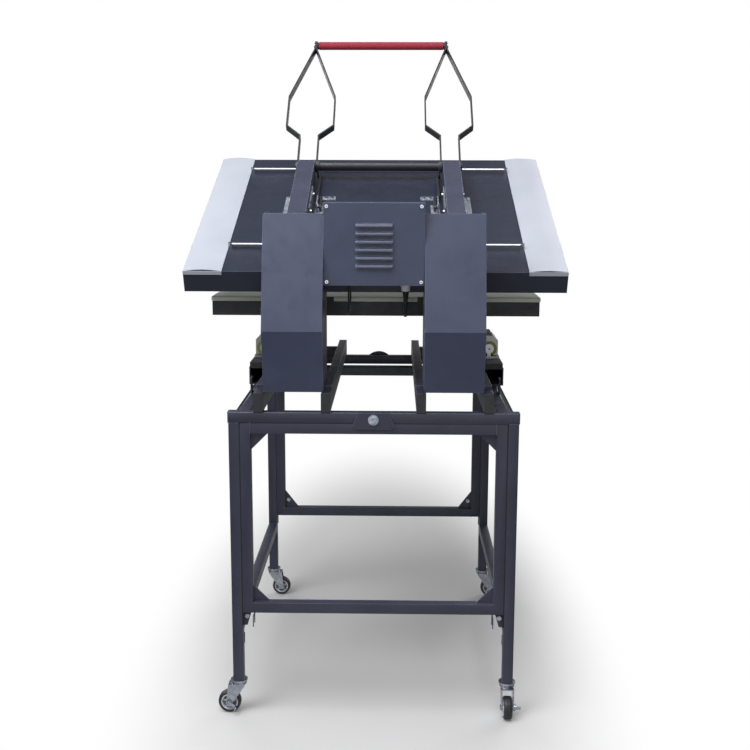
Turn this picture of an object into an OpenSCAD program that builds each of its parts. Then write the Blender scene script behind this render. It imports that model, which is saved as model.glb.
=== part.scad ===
// Large-format flat heat press on a wheeled stand.
// The rear faces -Y, the operator stands at +Y and +Z is up. The floor is z = 0.
// Stand and base are drawn from the rear legs forward. The head is drawn closed and tilted
// open, and the handle is drawn along its own length and leaned, so each keeps plain sizes.

/* [Stand] */
// Width over the legs
stand_w = 660; // [640:5:760]
// Depth over the legs
stand_d = 790; // [720:5:840]
// Height of the stand's top above the floor
stand_h = 707; // [640:1:780]
// Side of the square stand tube
tube = 25; // [24:0.5:28]
// Wall of the square stand tube
tube_wall = 1.5; // [1:0.1:2.5]
// Height of the end frames' lower rails above the floor
low_rail_z = 252; // [230:1:300]
// How much lower the side frames' lower rails lie
side_rail_drop = 50; // [0:1:60]
// Leg length of the corner gussets
gusset = 40; // [30:1:50]
// Height of the front frame's gussets
front_gusset = 52; // [40:1:60]
// Thickness of gussets and tie plates
plate_t = 4; // [3:0.5:5]

/* [Casters] */
// Radius of a caster's wheel
wheel_r = 27; // [25:0.5:28]
// Width of a caster's wheel
wheel_w = 22; // [18:1:24]
// Distance from the swivel axis to the wheel's axle
caster_trail = 23; // [20:1:25]
// Height of a caster from floor to leg
caster_h = 83; // [82:1:96]
// Radius of the rubber tread's inner face
tread_r = 20; // [18:0.5:21]
// Radius of a wheel's axle bolt
axle_r = 4; // [3:0.5:5]

/* [Base] */
// How far the base frame reaches past the stand's front
base_over = 60; // [20:5:80]
// Width of a long rail
rail_w = 22; // [20:1:24]
// Height of a long rail
rail_h = 44; // [38:1:45]
// Distance of the inner long rails from the middle
inner_rail_x = 108; // [100:1:112]
// Distance of the outer long rails from the stand's sides
outer_rail_in = 69; // [68:1:74]
// Radius of the tie plates' bolt washers
washer_r = 12; // [10:0.5:13]

/* [Drawer] */
// Distance of the slide rails from the stand's sides
slide_in = 35; // [32:1:36]
// Radius of a slide rail's round shaft
slide_r = 12.5; // [11:0.5:13]
// Where the slide rails start, from the rear of the stand
slide_y = 428; // [410:1:440]
// Thickness of the plate on a riser box
riser_cap_t = 12; // [10:1:14]
// Height of the shaft's axis above that plate
slide_rise = 26; // [25:0.5:28]
// Length of a bearing block
block_len = 58; // [50:1:62]
// Gap between the two blocks on one shaft
block_gap = 14; // [8:1:40]
// Width of a bearing block
block_w = 46; // [44:1:48]
// Width of the heated area
platen_w = 800; // [760:5:820]
// Depth of the heated area
platen_d = 600; // [570:5:620]
// Height of the lower platen
platen_h = 35; // [30:1:40]
// Thickness of the lower platen's top plate
platen_t = 12; // [8:0.5:14]
// Thickness of the silicone pad
pad_t = 12; // [8:0.5:14]
// How far the pad reaches past the platen
pad_over = 3; // [0:0.5:4]
// Height of the pad's top above the base's top rails
pad_rise = 194; // [190:1:198]

/* [Towers] */
// Distance of the arms and towers from the middle
arm_x = 200; // [194:1:202]
// Thickness of a tower's side plates
tower_t = 8; // [6:0.5:10]
// Radius of the shafts that the head tilts on
pivot_r = 12; // [10:0.5:14]
// Distance of the tilt axis from the rear of the stand
pivot_y = 150; // [148:1:156]
// Height of the tilt axis above the pad's top
pivot_rise = 10; // [8:1:12]
// Wire of the counterbalance springs
spring_wire = 4; // [3:0.5:5]
// Radius of the springs' coils, to the middle of the wire
spring_r = 14; // [12:0.5:15]
// Turns of each spring
spring_turns = 16; // [10:1:20]

/* [Hoods] */
// Width of a hood
hood_w = 135.5; // [126:0.5:137]
// Inner edge of a hood from the middle
hood_in_x = 113.5; // [112:0.5:118]
// Thickness of the hoods' and the control box's sheet
sheet = 1.5; // [1:0.1:2]
// Height of a hood from its lower edge to its top
hood_h = 399; // [390:1:420]
// Height of a hood's bend above its lower edge
hood_bend_z = 142; // [120:1:160]
// How far the bend stands behind the stand's rear
hood_bend_y = 30; // [24:1:34]
// How far forward a hood's lower edge lies
hood_foot_y = 4; // [0:1:8]
// How far forward a hood's upper edge lies
hood_top_y = 40; // [34:1:44]

/* [Control box] */
// Height of the control box
box_h = 183; // [170:1:190]
// Depth of the control box
box_d = 100; // [80:1:104]
// Height of the control box's bottom above the pad's top
box_rise = 48; // [44:1:54]
// Number of louvres
louvres = 6; // [4:1:7]
// Length of a louvre
louvre_l = 82; // [70:1:110]
// Distance between louvres
louvre_pitch = 18; // [15:0.5:20]

/* [Head] */
// Angle at which the open head stands
head_open = 21.8; // [18:0.1:24]
// Distance from the heated area to the cover's sides
side_margin = 55; // [50:1:60]
// Thickness of the cover's sheet
cover_t = 2; // [1.5:0.1:2.5]
// Height of the cover's skirt
skirt_h = 53; // [50:1:56]
// How far the pan reaches below the skirt
pan_h = 5; // [3:0.5:5.5]
// How far the pan tapers in
pan_taper = 12; // [8:1:16]
// Thickness of the heating platen
heat_t = 22; // [18:1:24]
// Thickness of the heater plate on the heating platen
heater_t = 6; // [4:0.5:7]
// Distance from the heated area to the cover's rear and front
head_margin = 65; // [60:1:68]
// Width of the pale guards at the cover's sides
guard_w = 92; // [80:1:100]
// How high the guards bow in their middle
guard_bow = 4; // [2:0.5:6]
// Radius of the tie rods
tie_r = 3.5; // [2.5:0.5:4]

/* [Arms and handle] */
// Width of an arm
arm_w = 46; // [44:1:50]
// Height of an arm's top above the cover
arm_rise = 60; // [56:1:64]
// Wall of an arm
arm_t = 4; // [3:0.5:5]
// Distance of the arms' front end from the cover's rear edge
arm_front = 563; // [540:1:570]
// Distance of the cross shaft from the cover's rear edge
shaft_front = 586; // [580:1:590]
// Height of the cross shaft above the cover
shaft_rise = 36; // [34:0.5:38]
// Radius of the cross shaft
shaft_r = 12.5; // [10:0.5:13]
// Angle of the handle above level
handle_lean = 42.4; // [38:0.2:48]
// Distance from the cross shaft to the grip
handle_len = 549; // [500:1:600]
// Thickness of the handle's flat bars
bar_t = 4; // [3:0.5:5]
// Width of the handle's flat bars
bar_w = 20; // [16:1:24]
// Distance between a fork's two bars in their bulge
bulge_w = 139; // [100:1:150]
// Length of the red grip
grip_len = 386; // [340:2:392]
// Radius of the red grip
grip_r = 12; // [10.5:0.5:14]
// Radius of the grip's steel core
core_r = 8; // [6:0.5:9]
// Radius of the cranks on the cross shaft
crank_r = 26; // [25.5:0.1:26.5]

/* [Hidden] */

// Shared fits and finish
cut = 2;
fit = 0.05;
seat = 0.3;
round_fn = 48;
cover_clear = 18;
left_right = [-1, 1];

// Colours
navy = "#3c3d4b";
navy_light = "#494f61";
black = "#27292f";
steel = "#aeafb1";
zinc = "#acb5c6";
chrome = "#c8ccd2";
pale = "#dce1eb";
cream = "#959c8d";
seal_green = "#9aa83a";
red = "#b44154";

// Widths and depths that the sizes above settle
base_d = stand_d + base_over;
outer_rail_x = stand_w / 2 - outer_rail_in;
slide_x = stand_w / 2 - slide_in;
cover_w = platen_w + 2 * side_margin;
cover_d = platen_d + 2 * head_margin;

// Heights that the sizes above settle
base_z = stand_h;
rail_z = base_z + tube;
long_top = rail_z + rail_h;
riser_h = rail_h + 1;
riser_top = rail_z + riser_h + riser_cap_t;
slide_z = riser_top + slide_rise;
pad_top = long_top + pad_rise;
platen_top = pad_top - pad_t;
platen_z = platen_top - platen_h;
pivot_z = pad_top + pivot_rise;
box_z = pad_top + box_rise;
heat_z = pad_top + seat;
cover_top = heat_z + heat_t + heater_t + insulation_t() + cover_t;
skirt_z = cover_top - skirt_h;
pan_z = skirt_z - pan_h;

// Plan places that follow from them
leg_in = stand_w / 2 - tube;
upright_in = leg_in - tube;
cover_y = pivot_y + pivot_r + cover_clear;
platen_y = cover_y + head_margin;
shaft_at = [cover_y + shaft_front, cover_top + shaft_rise];
shaft_open = [pivot_y, pivot_z] + turned(shaft_at - [pivot_y, pivot_z], head_open);
grip_y = shaft_open.x + handle_len * cos(handle_lean);
grip_z = shaft_open.y + handle_len * sin(handle_lean);
handle_local = handle_lean - head_open;

// The model's middle, front to back, from its rear-most wheel to the grip
back_y = tube / 2 - caster_trail - wheel_r;
front_y = grip_y + grip_r;
mid_y = (back_y + front_y) / 2;

function insulation_t() = 28.7;
function turned(p, a) = [p.x * cos(a) - p.y * sin(a), p.x * sin(a) + p.y * cos(a)];

echo(origin_shift = -mid_y, pivot = [pivot_y - mid_y, pivot_z], shaft = [shaft_open.x - mid_y, shaft_open.y]);
echo(crank_pin = [crank_pin_open().x - mid_y, crank_pin_open().y], slide = [slide_x, slide_y - mid_y, slide_z]);
echo(pad_top = pad_top, cover_top = cover_top, pan_z = pan_z, platen_z = platen_z, top = grip_z + grip_r);

// Placing
module placed() {
    translate([0, -mid_y, 0]) children();
}

module on_head() {
    placed() translate([0, pivot_y, pivot_z]) rotate([head_open, 0, 0]) translate([0, -pivot_y, -pivot_z])
        children();
}

module on_handle() {
    placed() translate([0, shaft_open.x, shaft_open.y]) rotate([handle_lean, 0, 0]) children();
}

module both_sides() {
    for (side = left_right) scale([side, 1, 1]) children();
}

// Basic shapes
module box_at(low, high) {
    translate(low) cube(high - low);
}

module rod_x(x0, x1, r) {
    translate([x0, 0, 0]) rotate([0, 90, 0]) cylinder(r = r, h = x1 - x0, $fn = round_fn);
}

module rod_y(y0, y1, r) {
    translate([0, y0, 0]) rotate([-90, 0, 0]) cylinder(r = r, h = y1 - y0, $fn = round_fn);
}

module rod_z(z0, z1, r) {
    translate([0, 0, z0]) cylinder(r = r, h = z1 - z0, $fn = round_fn);
}

// A profile drawn in Y and Z, with a thickness along X
module side_plate(x0, x1) {
    translate([x0, 0, 0]) rotate([90, 0, 90]) linear_extrude(x1 - x0) children();
}

// A profile drawn in X and Z, with a thickness along Y
module cross_plate(y0, y1) {
    translate([0, y1, 0]) rotate([90, 0, 0]) linear_extrude(y1 - y0) children();
}

module rounded(size, r) {
    translate([r, 0]) square([size.x - 2 * r, size.y]);
    translate([0, r]) square([size.x, size.y - 2 * r]);
    for (x = [r, size.x - r]) {
        for (y = [r, size.y - r]) translate([x, y]) circle(r, $fn = round_fn);
    }
}

// Welded square tube: each entry is a low corner, a size and the axis it runs along.
// The hollows meet at the joints, as they do where a tube is coped to its neighbour.
module welded(tubes, wall) {
    difference() {
        union() {
            for (t = tubes) translate(t[0]) cube(t[1]);
        }
        for (t = tubes) {
            low = [for (i = [0:2]) i == t[2] ? -2 * wall : wall];
            translate(t[0] + low) cube(t[1] - 2 * low);
        }
    }
}

// Ring vectors carried along a path without twist
function unit(v) = v / norm(v);
function along(p, i) = unit(p[min(i + 1, len(p) - 1)] - p[max(i - 1, 0)]);
function carried(p, u, i = 0) =
    i == len(p) ? [] : let (t = along(p, i), n = unit(u - (u * t) * t)) concat([n], carried(p, n, i + 1));

module swept(p, r, sides, start) {
    n = len(p);
    us = carried(p, start);
    points = [
        for (i = [0:n - 1])
            let (t = along(p, i), u = us[i], v = cross(t, u))
                for (k = [0:sides - 1]) p[i] + r * (cos(360 * k / sides) * u + sin(360 * k / sides) * v)
    ];
    walls = [
        for (i = [0:n - 2])
            for (k = [0:sides - 1])
                let (a = i * sides + k, b = i * sides + (k + 1) % sides)
                    each [[a, b, b + sides], [a, b + sides, a + sides]]
    ];
    ends = [
        for (k = [1:sides - 2]) each [[0, k + 1, k], [(n - 1) * sides, (n - 1) * sides + k, (n - 1) * sides + k + 1]]
    ];
    polyhedron(points = points, faces = [for (f = concat(walls, ends)) [f[2], f[1], f[0]]]);
}

// Screw with a head on the +Z side of z = 0, a shank below it and a nut where grip is given
module screw(shank_r, head_r, head_h, shank_l, grip = 0) {
    rod_z(0, head_h, head_r);
    rod_z(-shank_l, 0, shank_r);
    if (grip > 0) translate([0, 0, -grip - head_h]) cylinder(r = head_r, h = head_h, $fn = 6);
}

// Stand
bolt_r = 3;
bolt_head_r = 5.5;
bolt_head_h = 4;
gusset_bolt_at = [10, 22];
taper_w = 20;
taper_h = 34;
taper_bolt_drop = 11;

module leg_and_rails(side) {
    low = side_rail_z();
    x0 = leg_in;
    placed() scale([side, 1, 1]) color(navy) welded([
        [[x0, 0, caster_h], [tube, tube, stand_h - caster_h], 2],
        [[x0, stand_d - tube, caster_h], [tube, tube, stand_h - caster_h], 2],
        [[x0, tube, stand_h - tube], [tube, stand_d - 2 * tube, tube], 1],
        [[x0, tube, low], [tube, stand_d - 2 * tube, tube], 1]
    ], tube_wall);
}

function side_rail_z() = low_rail_z - side_rail_drop;

module side_frame_left() leg_and_rails(-1);
module side_frame_right() leg_and_rails(1);

// An end frame between the legs with corner gussets. The rear one also has tapered plates
// below its low rail, and the front one's lower gussets are bolted.
module end_frame(y0, front) {
    h = front ? front_gusset : gusset;
    mid = y0 + tube / 2;
    placed() color(navy) difference() {
        union() {
            welded([
                [[-leg_in, y0, low_rail_z], [tube, tube, stand_h - low_rail_z], 2],
                [[upright_in, y0, low_rail_z], [tube, tube, stand_h - low_rail_z], 2],
                [[-upright_in, y0, stand_h - tube], [2 * upright_in, tube, tube], 0],
                [[-upright_in, y0, low_rail_z], [2 * upright_in, tube, tube], 0]
            ], tube_wall);
            both_sides() cross_plate(mid - plate_t / 2, mid + plate_t / 2) {
                polygon([
                    [upright_in, low_rail_z + tube], [upright_in, low_rail_z + tube + h],
                    [upright_in - gusset, low_rail_z + tube]
                ]);
                polygon([
                    [upright_in, stand_h - tube], [upright_in, stand_h - tube - h],
                    [upright_in - gusset, stand_h - tube]
                ]);
                if (!front) polygon([
                    [leg_in, low_rail_z], [leg_in - taper_w, low_rail_z],
                    [leg_in - taper_w / 2, low_rail_z - taper_h], [leg_in, low_rail_z - taper_h]
                ]);
            }
        }
        both_sides() {
            translate([frame_bolt(front).x, 0, frame_bolt(front).y]) rod_y(y0, y0 + tube, bolt_r + fit);
        }
    }
}

function frame_bolt(front) =
    front ? [upright_in - gusset_bolt_at.x, low_rail_z + tube + gusset_bolt_at.y]
        : [leg_in - taper_w / 2, low_rail_z - taper_bolt_drop];

module rear_frame() end_frame(0, false);
module front_frame() end_frame(stand_d - tube, true);

module stand_bolts() {
    placed() color(zinc) {
        for (front = [false, true]) {
            at = frame_bolt(front);
            y = (front ? stand_d - tube / 2 : tube / 2) - plate_t / 2;
            for (side = left_right) translate([side * at.x, y, at.y]) rotate([90, 0, 0])
                screw(bolt_r, bolt_head_r, bolt_head_h, plate_t + bolt_head_h, plate_t);
        }
        translate([0, -plate_t, tie_bolt_z()]) rotate([90, 0, 0]) tie_bolt();
        translate([0, base_d + plate_t, front_bolt_z()]) rotate([-90, 0, 0]) tie_bolt();
    }
}

module tie_bolt() {
    rod_z(0, washer_t, washer_r);
    difference() {
        rod_z(washer_t, washer_t + bolt_head_h, washer_r - bolt_head_h);
        translate([0, 0, washer_t + bolt_head_h / 2]) cylinder(r = bolt_r, h = bolt_head_h, $fn = 6);
    }
    rod_z(-plate_t - tube_wall, 0, bolt_r);
}

// Base frame and tie plates
tab_t = 3;
tab_w = 30;
tab_h = 38;
tab_y = 225;
washer_t = 2;
base_side_x = stand_w / 2 - 0.9 * tube;
tie_w_share = 0.14;
tie_low_share = 0.1;
arch_r = 45;
arch_rise = 10;

function tie_bolt_z() = base_z + tube * 0.36;
function front_bolt_z() = rail_z - tube / 4;

module base_frame() {
    placed() color(navy) difference() {
        union() {
            welded([
                [[-stand_w / 2, 0, base_z], [stand_w, tube, tube], 0],
                [[-stand_w / 2, base_d - tube, base_z], [stand_w, tube, tube], 0],
                [[-base_side_x, tube, base_z], [tube, base_d - 2 * tube, tube], 1],
                [[base_side_x - tube, tube, base_z], [tube, base_d - 2 * tube, tube], 1]
            ], tube_wall);
            both_sides() box_at([base_side_x - tab_t, tab_y, rail_z], [base_side_x, tab_y + tab_w, rail_z + tab_h]);
        }
        translate([0, 0, front_bolt_z()]) rod_y(base_d - tube_wall - cut, base_d + cut, bolt_r + fit);
        translate([0, 0, tie_bolt_z()]) rod_y(-cut, tube_wall + cut, bolt_r + fit);
    }
}

module tie_plates() {
    top_half = stand_w * tie_low_share / 2;
    wide_half = stand_w * tie_w_share / 2;
    placed() color(navy) {
        difference() {
            cross_plate(-plate_t, 0) polygon([
                [-top_half, rail_z - seat], [top_half, rail_z - seat], [wide_half, base_z],
                [wide_half, base_z - tube / 3], [top_half * 1.2, base_z - tube / 2],
                [-top_half * 1.2, base_z - tube / 2], [-wide_half, base_z - tube / 3], [-wide_half, base_z]
            ]);
            translate([0, 0, tie_bolt_z()]) rod_y(-plate_t - cut, cut, bolt_r + fit);
        }
        difference() {
            translate([0, 0, rail_z + arch_rise - arch_r]) rod_y(base_d, base_d + plate_t, arch_r);
            box_at([-arch_r - cut, base_d - cut, 0], [arch_r + cut, base_d + plate_t + cut, base_z]);
            translate([0, 0, front_bolt_z()]) rod_y(base_d - cut, base_d + plate_t + cut, bolt_r + fit);
        }
    }
}

// Long rails, with cross pieces at the front between each pair
module long_rails() {
    placed() color(navy) both_sides() {
        welded([
            [[inner_rail_x - rail_w / 2, 0, rail_z], [rail_w, base_d, rail_h], 1],
            [[outer_rail_x - rail_w / 2, 0, rail_z], [rail_w, base_d, rail_h], 1],
            [
                [inner_rail_x + rail_w / 2, base_d - tube, rail_z],
                [outer_rail_x - inner_rail_x - rail_w, tube, tube],
                0
            ]
        ], tube_wall);
    }
}

plug_t = 1.5;
plug_in = 10;

// A plug closes one end of a tube of the given width and height
module plug(w, h) {
    inner = [w - 2 * tube_wall - 2 * fit, plug_in, h - 2 * tube_wall - 2 * fit];
    translate([-w / 2, -plug_t, -h / 2]) cube([w, plug_t, h]);
    translate([-inner.x / 2, 0, -inner.z / 2]) cube(inner);
}

module rail_plugs() {
    placed() color(black) both_sides() {
        for (x = [inner_rail_x, outer_rail_x]) {
            translate([x, 0, rail_z + rail_h / 2]) plug(rail_w, rail_h);
            translate([x, base_d, rail_z + rail_h / 2]) rotate([0, 0, 180]) plug(rail_w, rail_h);
        }
        for (y = [tube / 2, base_d - tube / 2])
            translate([stand_w / 2, y, base_z + tube / 2]) rotate([0, 0, 90]) plug(tube, tube);
    }
}

// Slide risers and rails
riser_half = 31;
riser_wall = 3;
riser_y = 347;
riser_cap_in = 2;
riser_x = outer_rail_x + rail_w / 2 + seat;
slide_foot_w = 54;
slide_foot_t = 6;
slide_neck_w = 10;

module rail_risers() {
    placed() color(black) both_sides() {
        welded([[[riser_x, riser_y, rail_z], [slide_x + riser_half - riser_x, base_d - riser_y, riser_h], 1]], riser_wall);
        box_at(
            [slide_x - riser_half + riser_cap_in, riser_y, rail_z + riser_h],
            [slide_x + riser_half - riser_cap_in, base_d, riser_top]
        );
    }
}

module slide_rails() {
    placed() both_sides() {
        color(steel) difference() {
            cross_plate(slide_y, base_d) {
                translate([slide_x - slide_foot_w / 2, riser_top]) square([slide_foot_w, slide_foot_t]);
                translate([slide_x - slide_neck_w / 2, riser_top]) square([slide_neck_w, slide_rise - slide_r / 2]);
            }
            translate([slide_x, 0, slide_z]) rod_y(slide_y - cut, base_d + cut, slide_r);
        }
        color(chrome) translate([slide_x, 0, slide_z]) difference() {
            rod_y(slide_y, base_d, slide_r);
            rod_y(slide_y - cut, slide_y + slide_r, slide_r / 4);
        }
    }
}

// Towers: base plate, two side plates, a brace and the spring's eye
tower_foot_y = [60, 240];
tower_y = [72, 232];
tower_gap = 1;
tower_boss = 26;
tower_base_t = 8;
brace_h = 110;
eye_r = 5;
eye_z = 30;
eye_half = 12;

spring_top = turned([-tail_back(), tail_up()], head_open) + [pivot_y, pivot_z];
tower_z = long_top + tower_base_t;

function tail_back() = 41;
function tail_up() = 65;

module tower(side) {
    near = arm_x - arm_w / 2 - tower_gap - tower_t;
    far = arm_x + arm_w / 2 + tower_gap;
    placed() scale([side, 1, 1]) color(navy) {
        box_at(
            [inner_rail_x - rail_w / 2, tower_foot_y[0], long_top],
            [outer_rail_x + rail_w / 2, tower_foot_y[1], tower_z]
        );
        difference() {
            union() {
                for (x = [near, far]) side_plate(x, x + tower_t) tower_outline();
            }
            translate([0, pivot_y, pivot_z]) rod_x(near - cut, far + tower_t + cut, pivot_r + fit);
        }
        box_at(
            [near + tower_t, tower_y[1] - 2 * tower_t, tower_z],
            [far, tower_y[1] - tower_t, tower_z + brace_h]
        );
        translate([0, spring_top.x, tower_z + eye_z]) rod_x(arm_x - eye_half, arm_x + eye_half, eye_r);
        for (x = [arm_x - eye_half, arm_x + eye_half - tab_t])
            box_at([x, spring_top.x - eye_r, tower_z], [x + tab_t, spring_top.x + eye_r, tower_z + eye_z]);
    }
}

module tower_outline() {
    polygon([
        [tower_y[0], tower_z], [tower_y[1], tower_z],
        [pivot_y + tower_boss, pivot_z], [pivot_y - tower_boss, pivot_z]
    ]);
    translate([pivot_y, pivot_z]) circle(tower_boss, $fn = round_fn);
}

module tower_left() tower(-1);
module tower_right() tower(1);

pivot_cap_r = 17;
pivot_cap_t = 4;

module pivot_shafts() {
    out = arm_w / 2 + tower_gap + tower_t;
    placed() color(steel) both_sides() translate([arm_x, pivot_y, pivot_z]) {
        rod_x(-out, out, pivot_r);
        rod_x(-out - pivot_cap_t, -out, pivot_cap_r);
        rod_x(out, out + pivot_cap_t, pivot_cap_r);
    }
}

// One unbroken wire: straight end, coils that open from the axis and close to it, straight end
ring_count = 8;

function coil(n, r, h) = [
    for (i = [0:n * ring_count])
        let (ease = min(1, i / ring_count, n - i / ring_count), a = 360 * i / ring_count)
            [r * ease * cos(a), r * ease * sin(a), h * i / (n * ring_count)]
];

spring_low = tower_z + eye_z + eye_r + seat;
spring_high = spring_top.y - eye_r - seat;
spring_end = 2 * spring_wire;
spring_len = spring_high - spring_low;
spring_path = concat(
    [[0, 0, 0]],
    [for (p = coil(spring_turns, spring_r, spring_len - 2 * spring_end)) p + [0, 0, spring_end]],
    [[0, 0, spring_len]]
);
spring_gap = min([
    for (i = [1:len(spring_path) - 2 - ring_count]) norm(spring_path[i + ring_count] - spring_path[i])
]) - spring_wire;
echo(spring_gap = spring_gap);

module counterbalance_springs() {
    placed() color(zinc) both_sides() translate([arm_x, spring_top.x, spring_low])
        swept(spring_path, spring_wire / 2, 6, [1, 0, 0]);
}

// Hoods
hood_z = long_top + cut;
hood_front_y = 150;
hood_screw_y = 96;
hood_screw_drop = 17;
flange_z = tower_z;

function hood_back(z) =
    let (bend = hood_z + hood_bend_z, top = hood_z + hood_h)
        z < bend ? hood_foot_y - (hood_foot_y + hood_bend_y) * (z - hood_z) / (bend - hood_z)
                 : -hood_bend_y + (hood_top_y + hood_bend_y) * (z - bend) / (top - bend);

module hood(side) {
    bend = hood_z + hood_bend_z;
    top = hood_z + hood_h;
    back = [[hood_foot_y, hood_z], [-hood_bend_y, bend], [hood_top_y, top]];
    placed() scale([side, 1, 1]) color(navy_light) difference() {
        union() {
            side_plate(hood_in_x, hood_in_x + hood_w)
                polygon(concat(back, [for (i = [2:-1:0]) back[i] + [sheet, 0]]));
            for (x = [hood_in_x, hood_in_x + hood_w - sheet]) side_plate(x, x + sheet) polygon([
                [hood_back(flange_z), flange_z], [-hood_bend_y, bend], [hood_top_y, top],
                [hood_front_y, top], [hood_front_y, flange_z]
            ]);
        }
        translate([0, hood_screw_y, top - hood_screw_drop])
            rod_x(hood_in_x + hood_w - sheet - cut, hood_in_x + hood_w + cut, bolt_r + fit);
    }
}

module hood_left() hood(-1);
module hood_right() hood(1);

// Control box between the hoods
box_y = 20;
box_half = hood_in_x;
box_gap = 1;
tray_lip = 16;
screw_in = 8;
small_r = 2;
small_head_r = 4;
small_head_h = 2.5;
louvre_r = 8;
louvre_low = 40;

module screw_places() {
    for (x = left_right) {
        for (z = [box_z + screw_in, box_z + box_h - screw_in]) translate([x * (box_half - screw_in), 0, z]) children();
    }
}

module control_tray() {
    y0 = box_y + sheet;
    y1 = box_y + box_d;
    placed() color(navy_light) difference() {
        union() {
            difference() {
                box_at([-box_half, y0, box_z], [box_half, y1, box_z + box_h]);
                box_at([-box_half + sheet, y0 - cut, box_z + sheet], [box_half - sheet, y1 - sheet, box_z + box_h - sheet]);
            }
            for (x = left_right) {
                for (z = [box_z + sheet, box_z + box_h - sheet - tray_lip])
                    box_at(
                        [x > 0 ? box_half - sheet - tray_lip : -box_half + sheet, y0, z],
                        [x > 0 ? box_half - sheet : -box_half + sheet + tray_lip, y0 + 2 * sheet, z + tray_lip]
                    );
            }
        }
        screw_places() rod_y(y0 - cut, y0 + 2 * sheet + cut, small_r + fit);
        translate([gland_x, gland_y, 0]) rod_z(box_z - cut, box_z + sheet + cut, gland_stem_r + fit);
        translate([sensor_x, gland_y, 0]) rod_z(box_z - cut, box_z + sheet + cut, grommet_r + fit);
        box_at(
            [inlet_x - inlet_w / 2 - fit, inlet_y - inlet_d / 2 - fit, box_z - cut],
            [inlet_x + inlet_w / 2 + fit, inlet_y + inlet_d / 2 + fit, box_z + sheet + cut]
        );
    }
}

// One louvre: a quarter shell pressed out to the rear, open below
module louvre() {
    side_plate(-louvre_l / 2, louvre_l / 2) difference() {
        intersection() {
            circle(louvre_r, $fn = round_fn);
            translate([-louvre_r, 0]) square(louvre_r);
        }
        intersection() {
            circle(louvre_r - sheet, $fn = round_fn);
            translate([-louvre_r, -louvre_r]) square([louvre_r, 2 * louvre_r]);
        }
    }
}

module control_cover() {
    first = box_z + louvre_low;
    placed() color(navy_light) {
        difference() {
            box_at([-box_half + box_gap, box_y, box_z], [box_half - box_gap, box_y + sheet, box_z + box_h]);
            screw_places() rod_y(box_y - cut, box_y + sheet + cut, small_r + fit);
            for (i = [0:louvres - 1])
                box_at(
                    [-louvre_l / 2 + sheet, box_y - cut, first + i * louvre_pitch],
                    [louvre_l / 2 - sheet, box_y + sheet + cut, first + i * louvre_pitch + louvre_r - sheet]
                );
        }
        for (i = [0:louvres - 1]) translate([0, box_y, first + i * louvre_pitch]) louvre();
    }
}

module cover_screws() {
    placed() color(chrome) {
        screw_places() translate([0, box_y, 0]) rotate([90, 0, 0])
            screw(small_r, small_head_r, small_head_h, 3 * sheet);
        both_sides() translate([hood_in_x + hood_w, hood_screw_y, hood_z + hood_h - hood_screw_drop])
            rotate([0, 90, 0]) screw(bolt_r, small_head_r, small_head_h, sheet + bolt_head_h, sheet);
    }
}

// Gland, grommet and mains inlet under the box
gland_x = 72;
gland_y = 100;
gland_r = 12.5;
gland_h = 20;
gland_stem_r = 8;
sensor_x = -60;
grommet_r = 5;
grommet_h = 5;
inlet_x = 0;
inlet_y = 66;
inlet_w = 30;
inlet_d = 24;
inlet_h = 26;
inlet_flange = 3;

module cable_fittings() {
    placed() {
        color("#c9cad0") translate([gland_x, gland_y, 0]) {
            rod_z(box_z, box_z + 4 * sheet, gland_stem_r);
            translate([0, 0, box_z - gland_h / 2]) cylinder(r = gland_r, h = gland_h / 2, $fn = 6);
            rod_z(box_z - gland_h, box_z - gland_h / 2, gland_r - 2 * sheet);
        }
        color(black) translate([sensor_x, gland_y, 0]) {
            rod_z(box_z - grommet_h, box_z, grommet_r + sheet);
            rod_z(box_z, box_z + 2 * sheet, grommet_r);
        }
        color(black) difference() {
            union() {
                box_at(
                    [inlet_x - inlet_w / 2, inlet_y - inlet_d / 2, box_z],
                    [inlet_x + inlet_w / 2, inlet_y + inlet_d / 2, box_z + inlet_h]
                );
                box_at(
                    [inlet_x - inlet_w / 2 - inlet_flange, inlet_y - inlet_d / 2 - inlet_flange, box_z - sheet],
                    [inlet_x + inlet_w / 2 + inlet_flange, inlet_y + inlet_d / 2 + inlet_flange, box_z]
                );
            }
            box_at(
                [inlet_x - inlet_w / 2 + inlet_flange, inlet_y - inlet_d / 2 + inlet_flange, box_z - cut],
                [inlet_x + inlet_w / 2 - inlet_flange, inlet_y + inlet_d / 2 - inlet_flange, box_z + inlet_h - inlet_flange]
            );
        }
    }
}

// Board with relay and transformer on posts on the tray's front wall
board_w = 150;
board_h = 110;
board_t = 2;
post_l = 8;
post_r = 3;
relay = [30, 22, 28];
transformer = [48, 30, 42];

module control_board() {
    wall = box_y + box_d - sheet;
    low = box_z + (box_h - board_h) / 2;
    face = wall - post_l - board_t;
    placed() {
        color("darkgreen") {
            box_at([-board_w / 2, face, low], [board_w / 2, face + board_t, low + board_h]);
            for (x = [-board_w / 2 + screw_in, board_w / 2 - screw_in]) {
                for (z = [low + screw_in, low + board_h - screw_in])
                    translate([x, 0, z]) rod_y(face + board_t, wall, post_r);
            }
        }
        color(black) box_at([-board_w / 3, face - relay.y, low + screw_in], [-board_w / 3 + relay.x, face, low + screw_in + relay.z]);
        color(steel) box_at(
            [board_w / 8, face - transformer.y, low + screw_in],
            [board_w / 8 + transformer.x, face, low + screw_in + transformer.z]
        );
    }
}

// The leads' routes: places from the rear of the stand and above the pad's top
lead_r = 4.75;
sensor_r = 2;
lead_route = [[100, 28], [100, 10], [103, -8], [112, -22], [127, -30], [148, -32], [172, -30],
    [195, -23], [212, -9], [219, 6], [215, 22]];
sensor_route = [[100, 43], [100, 22], [103, 0], [111, -16], [126, -25], [148, -27], [172, -25],
    [195, -18], [211, -5], [218, 8], [215, 22]];

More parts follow.
